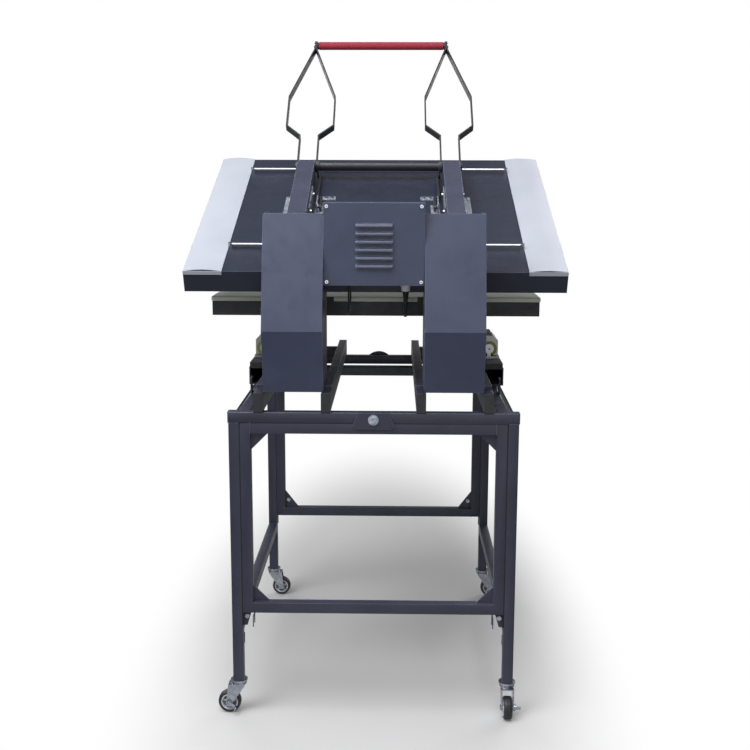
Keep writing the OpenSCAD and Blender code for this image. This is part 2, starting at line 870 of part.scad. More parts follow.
function pan_face(y) =
    let (p = turned([y - pivot_y, pan_z - pivot_z], head_open)) [p.x + pivot_y, p.y + pivot_z];

// The last point of a route is moved square onto the pan
function routed(x, route, up) =
    let (end = pan_face(lead_in_y), n = turned([0, -1], head_open), last = len(route) - 1)
        concat(
            [for (i = [0:last - 2]) [x, route[i].x, pad_top + route[i].y + (i < 2 ? up : 0)]],
            [for (l = [lead_tail, seat]) [x, end.x + l * n.x, end.y + l * n.y]]
        );

lead_in_y = 215;
lead_tail = 14;

module heater_lead() {
    placed() color(black) swept(routed(gland_x, lead_route, 0), lead_r, 10, [1, 0, 0]);
}

module sensor_lead() {
    placed() color(black) swept(routed(sensor_x, sensor_route, 0), sensor_r, 8, [1, 0, 0]);
}

// Casters, drawn trailing along +X with the swivel axis at the origin
lever_r = 8;
lever_w = 7;
lever_t = 2.5;
lever_out = 18;
lever_reach = [-14, -8.5];
race_r = 18;
race_h = 8;
cap_t = 3;
dish_r = 20;
fork_gap = 1.5;
fork_t = 2.5;
fork_top = caster_h - cap_t - race_h;
fork_nose = 25;
stem_r = 5;
stem_l = 14;
rivet_share = 1.6;
rivet_z = fork_top - fork_t - seat - cap_t;
caster_places = [
    ["rear_left", [-stand_w / 2 + tube / 2, tube / 2], 180],
    ["rear_right", [stand_w / 2 - tube / 2, tube / 2], -90],
    ["front_left", [-stand_w / 2 + tube / 2, stand_d - tube / 2], 0],
    ["front_right", [stand_w / 2 - tube / 2, stand_d - tube / 2], 0]
];

module at_caster(i) {
    placed() translate(concat(caster_places[i][1], [0])) rotate([0, 0, caster_places[i][2]]) children();
}

module caster_stems() {
    for (i = [0:3]) at_caster(i) rotate([0, 0, -caster_places[i][2]]) {
        color(chrome) {
            rod_z(caster_h - cap_t, caster_h, dish_r);
            inner = tube - 2 * tube_wall - 2 * fit;
            translate([-inner / 2, -inner / 2, caster_h]) cube([inner, inner, stem_l]);
            rod_z(rivet_z, caster_h - cap_t, stem_r);
            rod_z(rivet_z, rivet_z + cap_t, stem_r * rivet_share);
        }
    }
}

module fork_cheek() {
    polygon([
        [-race_r * 0.8, fork_top - fork_t], [fork_nose, fork_top - fork_t],
        [caster_trail + axle_r * 2, wheel_r], [caster_trail, wheel_r - axle_r * 2], [caster_trail - axle_r * 2, wheel_r]
    ]);
    translate([caster_trail, wheel_r]) circle(axle_r * 2, $fn = round_fn);
}

// Room on the axle for the brake lever of a rear caster
function lever_space(i) = i < 2 ? lever_t + 2 * seat : 0;

module caster_fork(i) {
    inside = wheel_w / 2 + fork_gap;
    outside = inside + fork_t;
    at_caster(i) color(chrome) {
        difference() {
            union() {
                for (y = [-outside, inside]) cross_plate(y, y + fork_t) fork_cheek();
                translate([-race_r * 0.8, -outside, fork_top - fork_t]) cube([race_r * 0.8 + fork_nose, 2 * outside, fork_t]);
                rod_z(fork_top, fork_top + race_h * 0.42, race_r);
                rod_z(fork_top, fork_top + race_h - seat, race_r * 0.7);
                rod_z(fork_top + race_h * 0.58, fork_top + race_h - seat, race_r);
            }
            translate([caster_trail, 0, wheel_r]) rod_y(-outside - cut, outside + cut, axle_r);
            rod_z(0, caster_h, stem_r + fit);
        }
        translate([caster_trail, 0, wheel_r]) {
            rod_y(-outside, outside + lever_space(i), axle_r);
            rod_y(outside + lever_space(i), outside + lever_space(i) + fork_t, axle_r * 1.6);
            translate([0, -outside, 0]) rotate([90, 0, 0]) cylinder(r = axle_r * 1.6, h = fork_t, $fn = 6);
        }
    }
}

module caster_wheel(i) {
    at_caster(i) translate([caster_trail, 0, wheel_r]) {
        color("#8d9098") difference() {
            rod_y(-wheel_w / 2, wheel_w / 2, tread_r);
            for (y = [-1, 1]) translate([0, y * wheel_w / 2, 0]) difference() {
                rod_y(-fork_gap, fork_gap, tread_r - cap_t);
                rod_y(-2 * fork_gap, 2 * fork_gap, axle_r * 2);
            }
            rod_y(-wheel_w, wheel_w, axle_r + fit);
        }
        color(black) difference() {
            rod_y(-wheel_w / 2 + 1, wheel_w / 2 - 1, wheel_r);
            rod_y(-wheel_w, wheel_w, tread_r);
        }
    }
}

module brake_lever(i) {
    y0 = wheel_w / 2 + fork_gap + fork_t + seat;
    at_caster(i) color(chrome) translate([caster_trail, 0, wheel_r]) {
        difference() {
            cross_plate(y0, y0 + lever_t) {
                circle(lever_r, $fn = round_fn);
                rotate(atan2(lever_reach.y, lever_reach.x)) translate([0, -lever_w / 2]) square([norm(lever_reach), lever_w]);
            }
            rod_y(y0 - cut, y0 + lever_t + cut, axle_r + fit);
        }
        translate([lever_reach.x, y0, lever_reach.y]) rotate([0, -atan2(lever_reach.y, lever_reach.x), 0])
            translate([0, 0, -lever_w / 2]) cube([lever_t, lever_out, lever_w]);
    }
}

module caster_fork_rear_left() caster_fork(0);
module caster_fork_rear_right() caster_fork(1);
module caster_fork_front_left() caster_fork(2);
module caster_fork_front_right() caster_fork(3);
module caster_wheel_rear_left() caster_wheel(0);
module caster_wheel_rear_right() caster_wheel(1);
module caster_wheel_front_left() caster_wheel(2);
module caster_wheel_front_right() caster_wheel(3);
module brake_lever_left() brake_lever(0);
module brake_lever_right() brake_lever(1);

// Drawer
block_h_share = 0.6;
block_chamfer = 13;
block_cap = 9;
block_top = slide_rise + block_cap;
block_foot = slide_rise - slide_foot_t - 3;
seal_r = 20;
seal_t = 4;
slot_w = 16;
bracket_t = 8;
bracket_flange = 48;
rib_w = 60;
rib_in = 14;

module at_blocks() {
    for (i = [0, 1]) translate([slide_x, slide_y + i * (block_len + block_gap), slide_z]) children();
}

module block_outline() {
    h = block_w / 2;
    polygon([
        [-h, -block_foot], [h, -block_foot], [h, block_top - block_chamfer], [h - block_chamfer, block_top],
        [-h + block_chamfer, block_top], [-h, block_top - block_chamfer]
    ]);
}

module bearing_blocks() {
    placed() color(steel) both_sides() at_blocks() difference() {
        cross_plate(0, block_len) block_outline();
        rod_y(-cut, block_len + cut, slide_r + fit);
        for (y = [-cut, block_len - seal_t]) rod_y(y, y + seal_t + cut, seal_r);
        box_at([-slot_w / 2, -cut, -block_foot - cut], [slot_w / 2, block_len + cut, 0]);
    }
}

module bearing_seals() {
    placed() color(seal_green) both_sides() at_blocks() for (y = [0, block_len - seal_t]) difference() {
        rod_y(y, y + seal_t, seal_r);
        rod_y(y - cut, y + seal_t + cut, slide_r + fit);
        box_at([-slot_w / 2, y - cut, -seal_r - cut], [slot_w / 2, y + seal_t + cut, 0]);
    }
}

module platen_brackets() {
    x1 = slide_x - block_w / 2;
    placed() color(black) both_sides() for (i = [0, 1]) {
        y = slide_y + i * (block_len + block_gap);
        cross_plate(y + bracket_t / 2, y + block_len - bracket_t / 2) {
            translate([x1 - bracket_t, slide_z - block_foot]) square([bracket_t, platen_z - slide_z + block_foot]);
            translate([x1 - bracket_flange, platen_z - bracket_t]) square([bracket_flange, bracket_t]);
        }
    }
}

module lower_platen() {
    wall = platen_t / 4;
    placed() color(black) {
        difference() {
            box_at([-platen_w / 2, platen_y, platen_z], [platen_w / 2, platen_y + platen_d, platen_top]);
            box_at(
                [-platen_w / 2 + wall, platen_y + wall, platen_z - cut],
                [platen_w / 2 - wall, platen_y + platen_d - wall, platen_top - platen_t]
            );
        }
        both_sides() translate([slide_x - block_w / 2 - bracket_flange / 2 - rib_w / 2, 0, 0]) difference() {
            box_at([0, platen_y + rib_in, platen_z], [rib_w, platen_y + platen_d - rib_in, platen_top - platen_t]);
            box_at(
                [wall, platen_y + rib_in - cut, platen_z + wall],
                [rib_w - wall, platen_y + platen_d - rib_in + cut, platen_top - platen_t - wall]
            );
        }
    }
}

pad_corner = 8;

module silicone_pad() {
    placed() color(cream) translate([-platen_w / 2 - pad_over, platen_y - pad_over, platen_top])
        linear_extrude(pad_t) rounded([platen_w + 2 * pad_over, platen_d + 2 * pad_over], pad_corner);
}

clip_x = 115;
clip_w = 26;
clip_t = 2;
clip_drop = 22;

module pad_clips() {
    placed() color(black) for (back = [0, 1]) translate([0, back * (2 * platen_y + platen_d), 0])
        scale([1, back == 1 ? -1 : 1, 1]) both_sides() translate([clip_x - clip_w / 2, 0, 0]) {
            y = platen_y - pad_over - clip_t;
            difference() {
                union() {
                    box_at([0, y, platen_top - clip_drop], [clip_w, y + clip_t, pad_top]);
                    box_at([0, y, platen_top - clip_drop], [clip_w, platen_y, platen_top - clip_drop / 2]);
                }
                translate([clip_w / 2, 0, platen_top - clip_drop * 0.75]) rod_y(y - cut, platen_y + cut, small_r + fit);
            }
            translate([clip_w / 2, y, platen_top - clip_drop * 0.75]) rotate([90, 0, 0])
                screw(small_r, small_head_r, small_head_h, clip_t + pad_over);
        }
}

pull_r = 7;
pull_half = 90;
pull_out = 40;

module drawer_handle() {
    front = platen_y + platen_d;
    z = platen_z + platen_h / 2;
    placed() color(chrome) translate([0, 0, z]) {
        translate([0, front + pull_out, 0]) rod_x(-pull_half, pull_half, pull_r);
        for (x = left_right) translate([x * (pull_half - pull_r), 0, 0]) rod_y(front, front + pull_out, pull_r);
    }
}

// Arms, drawn with the head closed
web_lift = 5;
nose_r = 18;
lug_r = 22;
lug_back = 64;
lug_front = 22;
spring_pin_r = 5;

module arm_web() {
    tail_y = pivot_y - lug_back;
    top = cover_top + arm_rise;
    low = cover_top + web_lift;
    lug_y = pivot_y + lug_front;
    difference() {
        union() {
            polygon([
                [tail_y, pivot_z + tail_up() - lug_front], [tail_y, top], [cover_y + arm_front, top],
                [shaft_at.x + nose_r, shaft_at.y], [shaft_at.x, shaft_at.y - nose_r],
                [cover_y + arm_front, low], [lug_y, low], [lug_y, pivot_z], [pivot_y - lug_r, pivot_z]
            ]);
            translate([pivot_y, pivot_z]) circle(lug_r, $fn = round_fn);
            translate(shaft_at) circle(nose_r, $fn = round_fn);
        }
        translate([pivot_y, pivot_z]) circle(pivot_r + fit, $fn = round_fn);
        translate(shaft_at) circle(shaft_r + fit, $fn = round_fn);
        for (s = rod_places) translate([cover_y + s, cover_top + rod_lift]) circle(tie_r + fit, $fn = round_fn);
    }
}

module arm(side) {
    x0 = arm_x - arm_w / 2;
    x1 = arm_x + arm_w / 2;
    top = cover_top + arm_rise;
    on_head() scale([side, 1, 1]) color(navy_light) {
        for (x = [x0, x1 - arm_t]) side_plate(x, x + arm_t) arm_web();
        box_at([x0, pivot_y - lug_back, top - arm_t], [x1, cover_y + arm_front, top]);
        translate([0, pivot_y - tail_back(), pivot_z + tail_up()]) rod_x(x0 + arm_t, x1 - arm_t, spring_pin_r);
    }
}

module arm_left() arm(-1);
module arm_right() arm(1);

// Galvanised brackets, link guides and slotted plates on the cover
rod_places = [130, 630];
rod_lift = 10;
bracket_y = [300, 445];
angle_t = 3;
angle_w = 24;
angle_h = 34;
angle_bolts = [16, 129];
plate_s = [427, 449];
plate_x = [114, 149];
plate_bolt_in = 10;
guide_len = 56;
guide_h = 30;
guide_foot = [17, 7];

// Crank pin in the head's closed frame, behind and below the cross shaft
function crank_pin() = shaft_at + crank_r * [-sin(24), -cos(24)];
function crank_pin_open() = turned(crank_pin() - [pivot_y, pivot_z], head_open) + [pivot_y, pivot_z];

link_len = 222;
link_w = 12;
link_t = 6;
link_jog = [12, 50, 68];
link_pin_r = 3;
crank_t = 5;
crank_gap = 1.5;
fork_half = arm_w / 2 + 1.5 + bar_t / 2;
crank_x = arm_x - fork_half - bar_t / 2;
link_x = crank_x - crank_t - crank_gap - link_t / 2;
link_rear_x = link_x - link_jog[0];
guide_gap = 4;
guide_x = link_rear_x + link_t / 2 + guide_gap;
guide_slot = [28, 5];
guide_mid = [9.2, 1.4];

module arm_brackets() {
    on_head() color(zinc) both_sides() difference() {
        union() {
            for (outer = [0, 1]) {
                face = arm_x + (outer == 1 ? arm_w / 2 : -arm_w / 2);
                away = outer == 1 ? 1 : -1;
                box_at(
                    [min(face, face + away * angle_t), cover_y + bracket_y[0], cover_top],
                    [max(face, face + away * angle_t), cover_y + bracket_y[1], cover_top + angle_h]
                );
                if (outer == 1) box_at(
                    [face, cover_y + bracket_y[0], cover_top],
                    [face + angle_w, cover_y + bracket_y[1], cover_top + angle_t]
                );
            }
            box_at([plate_x[0], cover_y + plate_s[0], cover_top], [plate_x[1], cover_y + plate_s[1], cover_top + angle_t]);
            link_guide();
        }
        for (s = angle_bolts)
            translate([arm_x + arm_w / 2 + angle_w / 2, cover_y + bracket_y[0] + s, cover_top]) rod_z(-cut, angle_t + cut, bolt_r + fit);
        for (s = angle_bolts)
            translate([0, cover_y + bracket_y[0] + s, cover_top + angle_h / 2])
                rod_x(arm_x - arm_w, arm_x + arm_w, bolt_r + fit);
        for (x = [plate_x[0] + plate_bolt_in, plate_x[1] - plate_bolt_in])
            translate([x, cover_y + (plate_s[0] + plate_s[1]) / 2, cover_top]) rod_z(-cut, angle_t + cut, bolt_r + fit);
    }
}

// Upright with a slot for the link's rear pin, on a foot that is bolted to the cover
module link_guide() {
    pin = crank_pin() - [link_len, 0];
    mid = pin.x + guide_mid.x;
    difference() {
        union() {
            box_at([guide_x, mid - guide_len / 2, cover_top], [guide_x + angle_t, mid + guide_len / 2, cover_top + guide_h]);
            box_at(
                [guide_x - guide_foot[0], mid - guide_len / 2, cover_top],
                [guide_x + guide_foot[1], mid + guide_len / 2, cover_top + angle_t]
            );
        }
        side_plate(guide_x - cut, guide_x + angle_t + cut) {
            for (y = left_right) translate([mid + y * guide_slot.x / 2, pin.y + guide_mid.y])
                circle(link_pin_r + guide_slot.y, $fn = round_fn);
            translate([mid - guide_slot.x / 2, pin.y + guide_mid.y - link_pin_r - guide_slot.y])
                square([guide_slot.x, 2 * link_pin_r + 2 * guide_slot.y]);
        }
    }
}

module bracket_bolts() {
    on_head() color(chrome) both_sides() {
        for (s = angle_bolts) {
            translate([arm_x + arm_w / 2 + angle_w / 2, cover_y + bracket_y[0] + s, cover_top + angle_t])
                screw(bolt_r, bolt_head_r, bolt_head_h, angle_t);
            for (away = left_right)
                translate([
                    arm_x + away * (arm_w / 2 + angle_t), cover_y + bracket_y[0] + s, cover_top + angle_h / 2
                ]) rotate([0, 90 * away, 0]) screw(bolt_r, bolt_head_r, bolt_head_h, angle_t);
        }
        for (x = [plate_x[0] + plate_bolt_in, plate_x[1] - plate_bolt_in])
            translate([x, cover_y + (plate_s[0] + plate_s[1]) / 2, cover_top + angle_t])
                screw(bolt_r, bolt_head_r, bolt_head_h, angle_t);
    }
}

// Head
module head_cover() {
    on_head() color(navy) difference() {
        box_at([-cover_w / 2, cover_y, skirt_z], [cover_w / 2, cover_y + cover_d, cover_top]);
        box_at(
            [-cover_w / 2 + cover_t, cover_y + cover_t, skirt_z - cut],
            [cover_w / 2 - cover_t, cover_y + cover_d - cover_t, cover_top - cover_t]
        );
    }
}

pan_gap = 1;

module bottom_pan() {
    w = cover_w / 2;
    on_head() color(steel) difference() {
        polyhedron(
            points = [
                [-w, cover_y, skirt_z], [w, cover_y, skirt_z], [w, cover_y + cover_d, skirt_z], [-w, cover_y + cover_d, skirt_z],
                [-w + pan_taper, cover_y + pan_taper, pan_z], [w - pan_taper, cover_y + pan_taper, pan_z],
                [w - pan_taper, cover_y + cover_d - pan_taper, pan_z], [-w + pan_taper, cover_y + cover_d - pan_taper, pan_z]
            ],
            faces = [[0, 3, 2, 1], [4, 5, 6, 7], [0, 1, 5, 4], [1, 2, 6, 5], [2, 3, 7, 6], [3, 0, 4, 7]]
        );
        box_at(
            [-platen_w / 2 - pan_gap, platen_y - pan_gap, pan_z - cut],
            [platen_w / 2 + pan_gap, platen_y + platen_d + pan_gap, skirt_z + cut]
        );
    }
}

module heating_platen() {
    on_head() color(steel)
        box_at([-platen_w / 2, platen_y, heat_z], [platen_w / 2, platen_y + platen_d, heat_z + heat_t]);
}

element_in = 25;

module heater_element() {
    z = heat_z + heat_t;
    on_head() color("saddlebrown") box_at(
        [-platen_w / 2 + element_in, platen_y + element_in, z],
        [platen_w / 2 - element_in, platen_y + platen_d - element_in, z + heater_t]
    );
}

module insulation() {
    z = heat_z + heat_t + heater_t;
    on_head() color("whitesmoke")
        box_at([-platen_w / 2, platen_y, z], [platen_w / 2, platen_y + platen_d, z + insulation_t()]);
}

// Pale guards: bowed sheets on the cover's side margins, with a short lip over its rear edge
guard_t = 1.5;
guard_lip = 8;

module guard(side) {
    bow_r = (pow(guard_w / 2, 2) + pow(guard_bow, 2)) / (2 * guard_bow);
    x = cover_w / 2 - guard_w / 2;
    on_head() scale([side, 1, 1]) color(pale) translate([x, 0, 0]) {
        cross_plate(cover_y, cover_y + cover_d) intersection() {
            difference() {
                translate([0, cover_top + guard_bow + guard_t - bow_r]) circle(bow_r, $fn = round_fn);
                translate([0, cover_top + guard_bow - bow_r]) circle(bow_r, $fn = round_fn);
            }
            translate([-guard_w / 2, cover_top]) square([guard_w, guard_bow + guard_t]);
        }
        box_at([-guard_w / 2, cover_y - guard_t, cover_top - guard_lip], [guard_w / 2, cover_y, cover_top + guard_t]);
    }
}

module guard_left() guard(-1);
module guard_right() guard(1);

// Rods across the cover from guard to guard, each end in a small foot
rod_foot = 10;

module tie_rods() {
    x1 = cover_w / 2 - guard_w - seat;
    on_head() color(chrome) for (s = rod_places) {
        translate([0, cover_y + s, cover_top + rod_lift]) rod_x(-x1, x1, tie_r);
        both_sides() box_at(
            [x1 - rod_foot, cover_y + s - rod_foot / 2, cover_top],
            [x1, cover_y + s + rod_foot / 2, cover_top + rod_lift + tie_r]
        );
    }
}

// Cross shaft with cranks
crank_pin_r = 4;

module cross_shaft() {
    out = arm_x + fork_half + bar_t / 2 + 3;
    pin = turned(crank_pin() - shaft_at, -handle_local);
    on_handle() color(black) {
        rod_x(-out, out, shaft_r);
        both_sides() {
            union() {
                side_plate(crank_x - crank_t, crank_x) hull() {
                    circle(bar_root_r, $fn = round_fn);
                    translate(pin) circle(2 * crank_pin_r, $fn = round_fn);
                }
                translate([0, pin.x, pin.y]) rod_x(link_x - link_t / 2 - crank_gap, crank_x, crank_pin_r);
            }
        }
    }
}

// Wishbones: two bent flat bars each, mirrored about the fork's middle.
// Shares of the handle's length at which the bar bends.
bend_shares = [0.10, 0.22, 0.30, 0.535, 0.955];
bar_root_r = 17;

function bar_line() = [
    [fork_half, 0],
    [fork_half, handle_len * bend_shares[0]],
    [fork_half, handle_len * bend_shares[1]],
    [bulge_w / 2 - bar_t / 2, handle_len * bend_shares[2]],
    [bulge_w / 2 - bar_t / 2, handle_len * bend_shares[3]],
    [bar_t / 2 + seat / 2, handle_len * bend_shares[4]],
    [bar_t / 2 + seat / 2, handle_len + bar_w / 2]
];

// Offsets a line of points sideways by d, with mitred bends
function shifted(p, d) = [
    for (i = [0:len(p) - 1])
        let (
            a = unit(p[max(i, 1)] - p[max(i, 1) - 1]),
            b = unit(p[min(i + 1, len(p) - 1)] - p[min(i + 1, len(p) - 1) - 1]),
            na = [-a.y, a.x], nb = [-b.y, b.x], m = unit(na + nb)
        ) p[i] + m * d / (m * na)
];

module wishbone(side) {
    line = bar_line();
    outline = concat(shifted(line, bar_t / 2), [for (i = [len(line) - 1:-1:0]) shifted(line, -bar_t / 2)[i]]);
    on_handle() color(navy) translate([side * arm_x, 0, 0]) both_sides() difference() {
        union() {
            translate([0, 0, -bar_w / 2]) linear_extrude(bar_w) polygon(outline);
            rod_x(fork_half - bar_t / 2, fork_half + bar_t / 2, bar_root_r);
        }
        rod_x(0, fork_half + bar_t, shaft_r);
        translate([0, handle_len, 0]) rod_x(-cut, 2 * bar_t, core_bolt_r + fit);
    }
}

core_bolt_r = 4;
cap_l = 3;

module wishbone_left() wishbone(-1);
module wishbone_right() wishbone(1);

// Grip core with its end bolts through the wishbones, and the sleeve round it
module grip_core() {
    inside = arm_x - bar_t - seat / 2;
    out = arm_x + bar_t + seat / 2;
    on_handle() color(steel) translate([0, handle_len, 0]) {
        rod_x(-inside, inside, core_r);
        rod_x(-out, out, core_bolt_r);
        both_sides() rod_x(out, out + cap_l, 2 * core_bolt_r);
    }
}

module grip_sleeve() {
    on_handle() color(red) translate([0, handle_len, 0]) difference() {
        rod_x(-grip_len / 2, grip_len / 2, grip_r);
        rod_x(-grip_len / 2 - cut, grip_len / 2 + cut, core_r);
    }
}

// Links from the cranks back to their slotted guides, with a jog before the rear pin
module link_bars() {
    pin = crank_pin();
    rear = pin.x - link_len;
    line = [[link_x, pin.x], [link_x, rear + link_jog[2]], [link_rear_x, rear + link_jog[1]], [link_rear_x, rear]];
    outline = concat(shifted(line, link_t / 2), [for (i = [len(line) - 1:-1:0]) shifted(line, -link_t / 2)[i]]);
    on_head() color(black) both_sides() difference() {
        union() {
            translate([0, 0, pin.y - link_w / 2]) linear_extrude(link_w) polygon(outline);
            translate([0, pin.x, pin.y]) rod_x(link_x - link_t / 2, link_x + link_t / 2, link_w / 2);
            translate([0, rear, pin.y]) rod_x(link_rear_x - link_t / 2, link_rear_x + link_t / 2, link_w / 2);
            translate([0, rear, pin.y]) rod_x(link_rear_x, guide_x + angle_t + cut, link_pin_r);
        }
        translate([0, pin.x, pin.y]) rod_x(link_x - link_t, link_x + link_t, crank_pin_r + fit);
    }
}

side_frame_left();
side_frame_right();
rear_frame();
front_frame();
stand_bolts();
base_frame();
tie_plates();
long_rails();
rail_plugs();
rail_risers();
slide_rails();
tower_left();
tower_right();
pivot_shafts();
counterbalance_springs();
hood_left();
hood_right();
control_tray();
control_cover();
cover_screws();
cable_fittings();
control_board();
caster_stems();
caster_fork_rear_left();
caster_fork_rear_right();
caster_fork_front_left();
caster_fork_front_right();
caster_wheel_rear_left();
caster_wheel_rear_right();
caster_wheel_front_left();
caster_wheel_front_right();
brake_lever_left();
brake_lever_right();
bearing_blocks();
bearing_seals();
platen_brackets();
lower_platen();
silicone_pad();
pad_clips();
drawer_handle();
arm_left();
arm_right();
arm_brackets();
bracket_bolts();
head_cover();
bottom_pan();
heating_platen();
heater_element();
insulation();
guard_left();
guard_right();
tie_rods();
heater_lead();
sensor_lead();
cross_shaft();
wishbone_left();
wishbone_right();
grip_core();
grip_sleeve();
link_bars();
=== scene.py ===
"""Looks for a flat heat press on a wheeled stand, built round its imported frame."""

import math

import bmesh
import bpy
from mathutils import Euler, Matrix, Vector


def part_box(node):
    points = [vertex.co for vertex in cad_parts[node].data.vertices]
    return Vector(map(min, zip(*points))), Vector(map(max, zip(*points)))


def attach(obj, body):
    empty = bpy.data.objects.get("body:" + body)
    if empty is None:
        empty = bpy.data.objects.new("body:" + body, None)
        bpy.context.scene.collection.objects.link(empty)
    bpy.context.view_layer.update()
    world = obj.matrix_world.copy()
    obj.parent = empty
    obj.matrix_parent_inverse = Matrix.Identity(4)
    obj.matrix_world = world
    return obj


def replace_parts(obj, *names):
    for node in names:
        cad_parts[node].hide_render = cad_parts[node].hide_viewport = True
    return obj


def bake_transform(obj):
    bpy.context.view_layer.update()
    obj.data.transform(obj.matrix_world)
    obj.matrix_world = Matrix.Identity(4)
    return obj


bl_info = {
    "name": "Flat heat press",
    "version": (1, 0, 0),
    "blender": (4, 5, 0),
    "location": "View3D > Sidebar > Heat press",
    "description": "Finishes, soft pieces and small hardware for a flat heat press on a stand",
    "category": "Add Mesh",
}

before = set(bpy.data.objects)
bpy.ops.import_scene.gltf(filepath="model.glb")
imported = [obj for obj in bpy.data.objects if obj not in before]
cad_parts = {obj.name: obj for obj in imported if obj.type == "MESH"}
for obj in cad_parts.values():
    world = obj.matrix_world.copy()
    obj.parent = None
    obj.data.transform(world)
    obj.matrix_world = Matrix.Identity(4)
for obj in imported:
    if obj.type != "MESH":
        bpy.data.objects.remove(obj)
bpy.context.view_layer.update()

MM = 0.001
CORNERS = ("rear_left", "rear_right", "front_left", "front_right")
SIDES = (-1, 1)

# The picture camera: lens and sensor in mm, place in m, turn and roll in degrees
LENS = 53.155
SENSOR = 36.0
CAMERA_AT = (0.047, -2.985146, 1.251)
CAMERA_TURN = (80.0, 0.0, 1.02)
CAMERA_ROLL = 0.16

# The soft lights: name, place, aim, size, the setting that holds the power, and the share of it
LIGHTS = (
    ("key", (-2.6, -2.4, 3.6), (0, 0, 0.9), 2.8, "key_power", 1.0),
    ("rim", (2.4, 3.0, 2.6), (0, 0, 1.0), 2.4, "fill_power", 1.0),
    ("fill", (-2.6, 3.2, 1.9), (0, 0, 0.9), 2.4, "fill_power", 0.7),
    ("top", (-0.5, -1.7, 4.2), (0, -0.2, 0.6), 3.6, "top_power", 1.0),
    ("low", (0.3, -4.6, 0.9), (0, 0, 0.85), 3.0, "fill_power", 0.4),
)

# The floor in m: its box, and the half lengths of the grey oval under the press, which is partly painted
# shadow.
# World and floor are plain white to the camera and only this strong to everything else.
FLOOR_BOX = ((-14, -8, -0.02), (14, 26, 0))
FLOOR_OVAL = (0.68, 2.3)
STRAY_LIGHT = 0.2

# The leads' routes, in mm: forward of the rear frame and above the pad
HEATER_X = 72.0
HEATER_ROUTE = ((100, 28), (100, 10), (103, -8), (112, -22), (127, -30), (148, -32), (172, -30),
                (195, -23), (212, -9))
SENSOR_X = -60.0
SENSOR_ROUTE = ((100, 43), (100, 22), (103, 0), (111, -16), (126, -25), (148, -27), (172, -25),
                (195, -18), (211, -5))
# How far forward the leads end with the head closed, their straight last stretch and their gap to the head
LEAD_IN = 215.0
LEAD_TAIL = 14.0
LEAD_GAP = 0.3
# Each lead's name, x, route and radius, and its strain relief's length and wide radius, in mm
LEADS = (
    ("heater_lead", HEATER_X, HEATER_ROUTE, 4.75, 16.0, 7.6),
    ("sensor_lead", SENSOR_X, SENSOR_ROUTE, 2.0, 9.0, 4.2),
)
# Points between two of a route's, sides and ribs of a relief, and the head's relief as a share of the length
LEAD_STEPS = 8
BOOT_SIDES = 28
BOOT_RIBS = 4
HEAD_BOOT_SHARE = 0.6

# How far the head stands open
HEAD_OPEN = math.radians(21.8)

# The pad: its crown in mm, then rings by inset in mm and share of the crown that they lie lower
PAD_CROWN = 0.5
PAD_RINGS = ((20, 0.7), (70, 0.2), (150, 0.0))
PAD_CORNER_STEPS = 6

# The sleeve's bore as a share of its radius, and how much thinner its ends are, in mm
SLEEVE_BORE = 0.68
SLEEVE_TAPER = 0.15

# The stand's tubes in mm: side, drop of the side frames' low rails, shortest edge that is rounded
TUBE = 25.0
SIDE_RAIL_DROP = 50.0
LONG_EDGE = 60.0
TUBED = ("side_frame_left", "side_frame_right", "rear_frame", "front_frame", "base_frame", "long_rails")

# Smallest and largest scale of a weld ripple
RIPPLE_SCALE = {"Min_001": 0.82, "Max_001": 1.1}

# A tower's weld lines in mm: in from its sides, in from its rear and front, above its foot
TOWER_SIDE = 34.0
TOWER_REAR = 14.0
TOWER_FRONT = 10.0
TOWER_FOOT = 8.0

# Strips of painted shade in the dark seams between frames, in mm: half width upright and level, half
# thickness, depth of their middle under the tubes' faces, and gap at their ends
SEAM_UPRIGHT = 1.8
SEAM_LEVEL = 2.1
SEAM_T = 0.3
SEAM_DEPTH = 0.35
SEAM_END = 2.0

# Cover screws in mm: those this close to the cover's face and middle face backwards, the others sideways;
# then the corners of one of a recess's two slots, a dark block that is painted shade
FACE_DEPTH = 12.0
FACE_HALF = 112.0
RECESS = ((-2.3, -0.45, -0.3), (2.3, 0.45, 0.12))

# The gland's ribs, in mm: their number, one rib's corners and the gland's height over the lead's exit
GLAND_RIBS = 16
GLAND_RIB = ((9.2, -0.8, -9.0), (10.2, 0.8, -0.5))
GLAND_RISE = 10

# The tie rods' places, in mm forward of and above the tilt axis with the head closed
ROD_PLACES = (160.0, 660.0)
ROD_RISE = 59.0
# Washer and nut on a rod's end: distance from the arm, length, radius and sides
ROD_BORE = 3.6
ROD_ENDS = ((0.0, 1.2, 7.5, 32), (1.2, 6.0, 6.3, 6))

# Bolt sockets in mm: the widest bolt that gets one, inner and outer radius, lower and upper end
BOLT_WIDE = 20.0
SOCKET = (2.0, 2.9, -0.2, 0.15)
SOCKET_SIDES = 24


# Numbers and places


def srgb(code):
    """Linear colour of a hex sRGB code."""
    parts = [int(code[i:i + 2], 16) / 255 for i in (1, 3, 5)]
    return tuple(c / 12.92 if c <= 0.04045 else ((c + 0.055) / 1.055) ** 2.4 for c in parts) + (1.0,)


def corners(name):
    """Lowest and highest corner of a CAD node as vectors."""
    low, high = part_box(name)
    return Vector(low), Vector(high)


def middle(name):
    """Centre of a CAD node's box."""
    low, high = corners(name)
    return (low + high) / 2


def side_point(x, y, z):
    """Row-frame point from mm forward of the rear frame and above the pad."""
    return Vector((x * MM, corners("rear_frame")[0].y + y * MM, corners("silicone_pad")[1].z + z * MM))


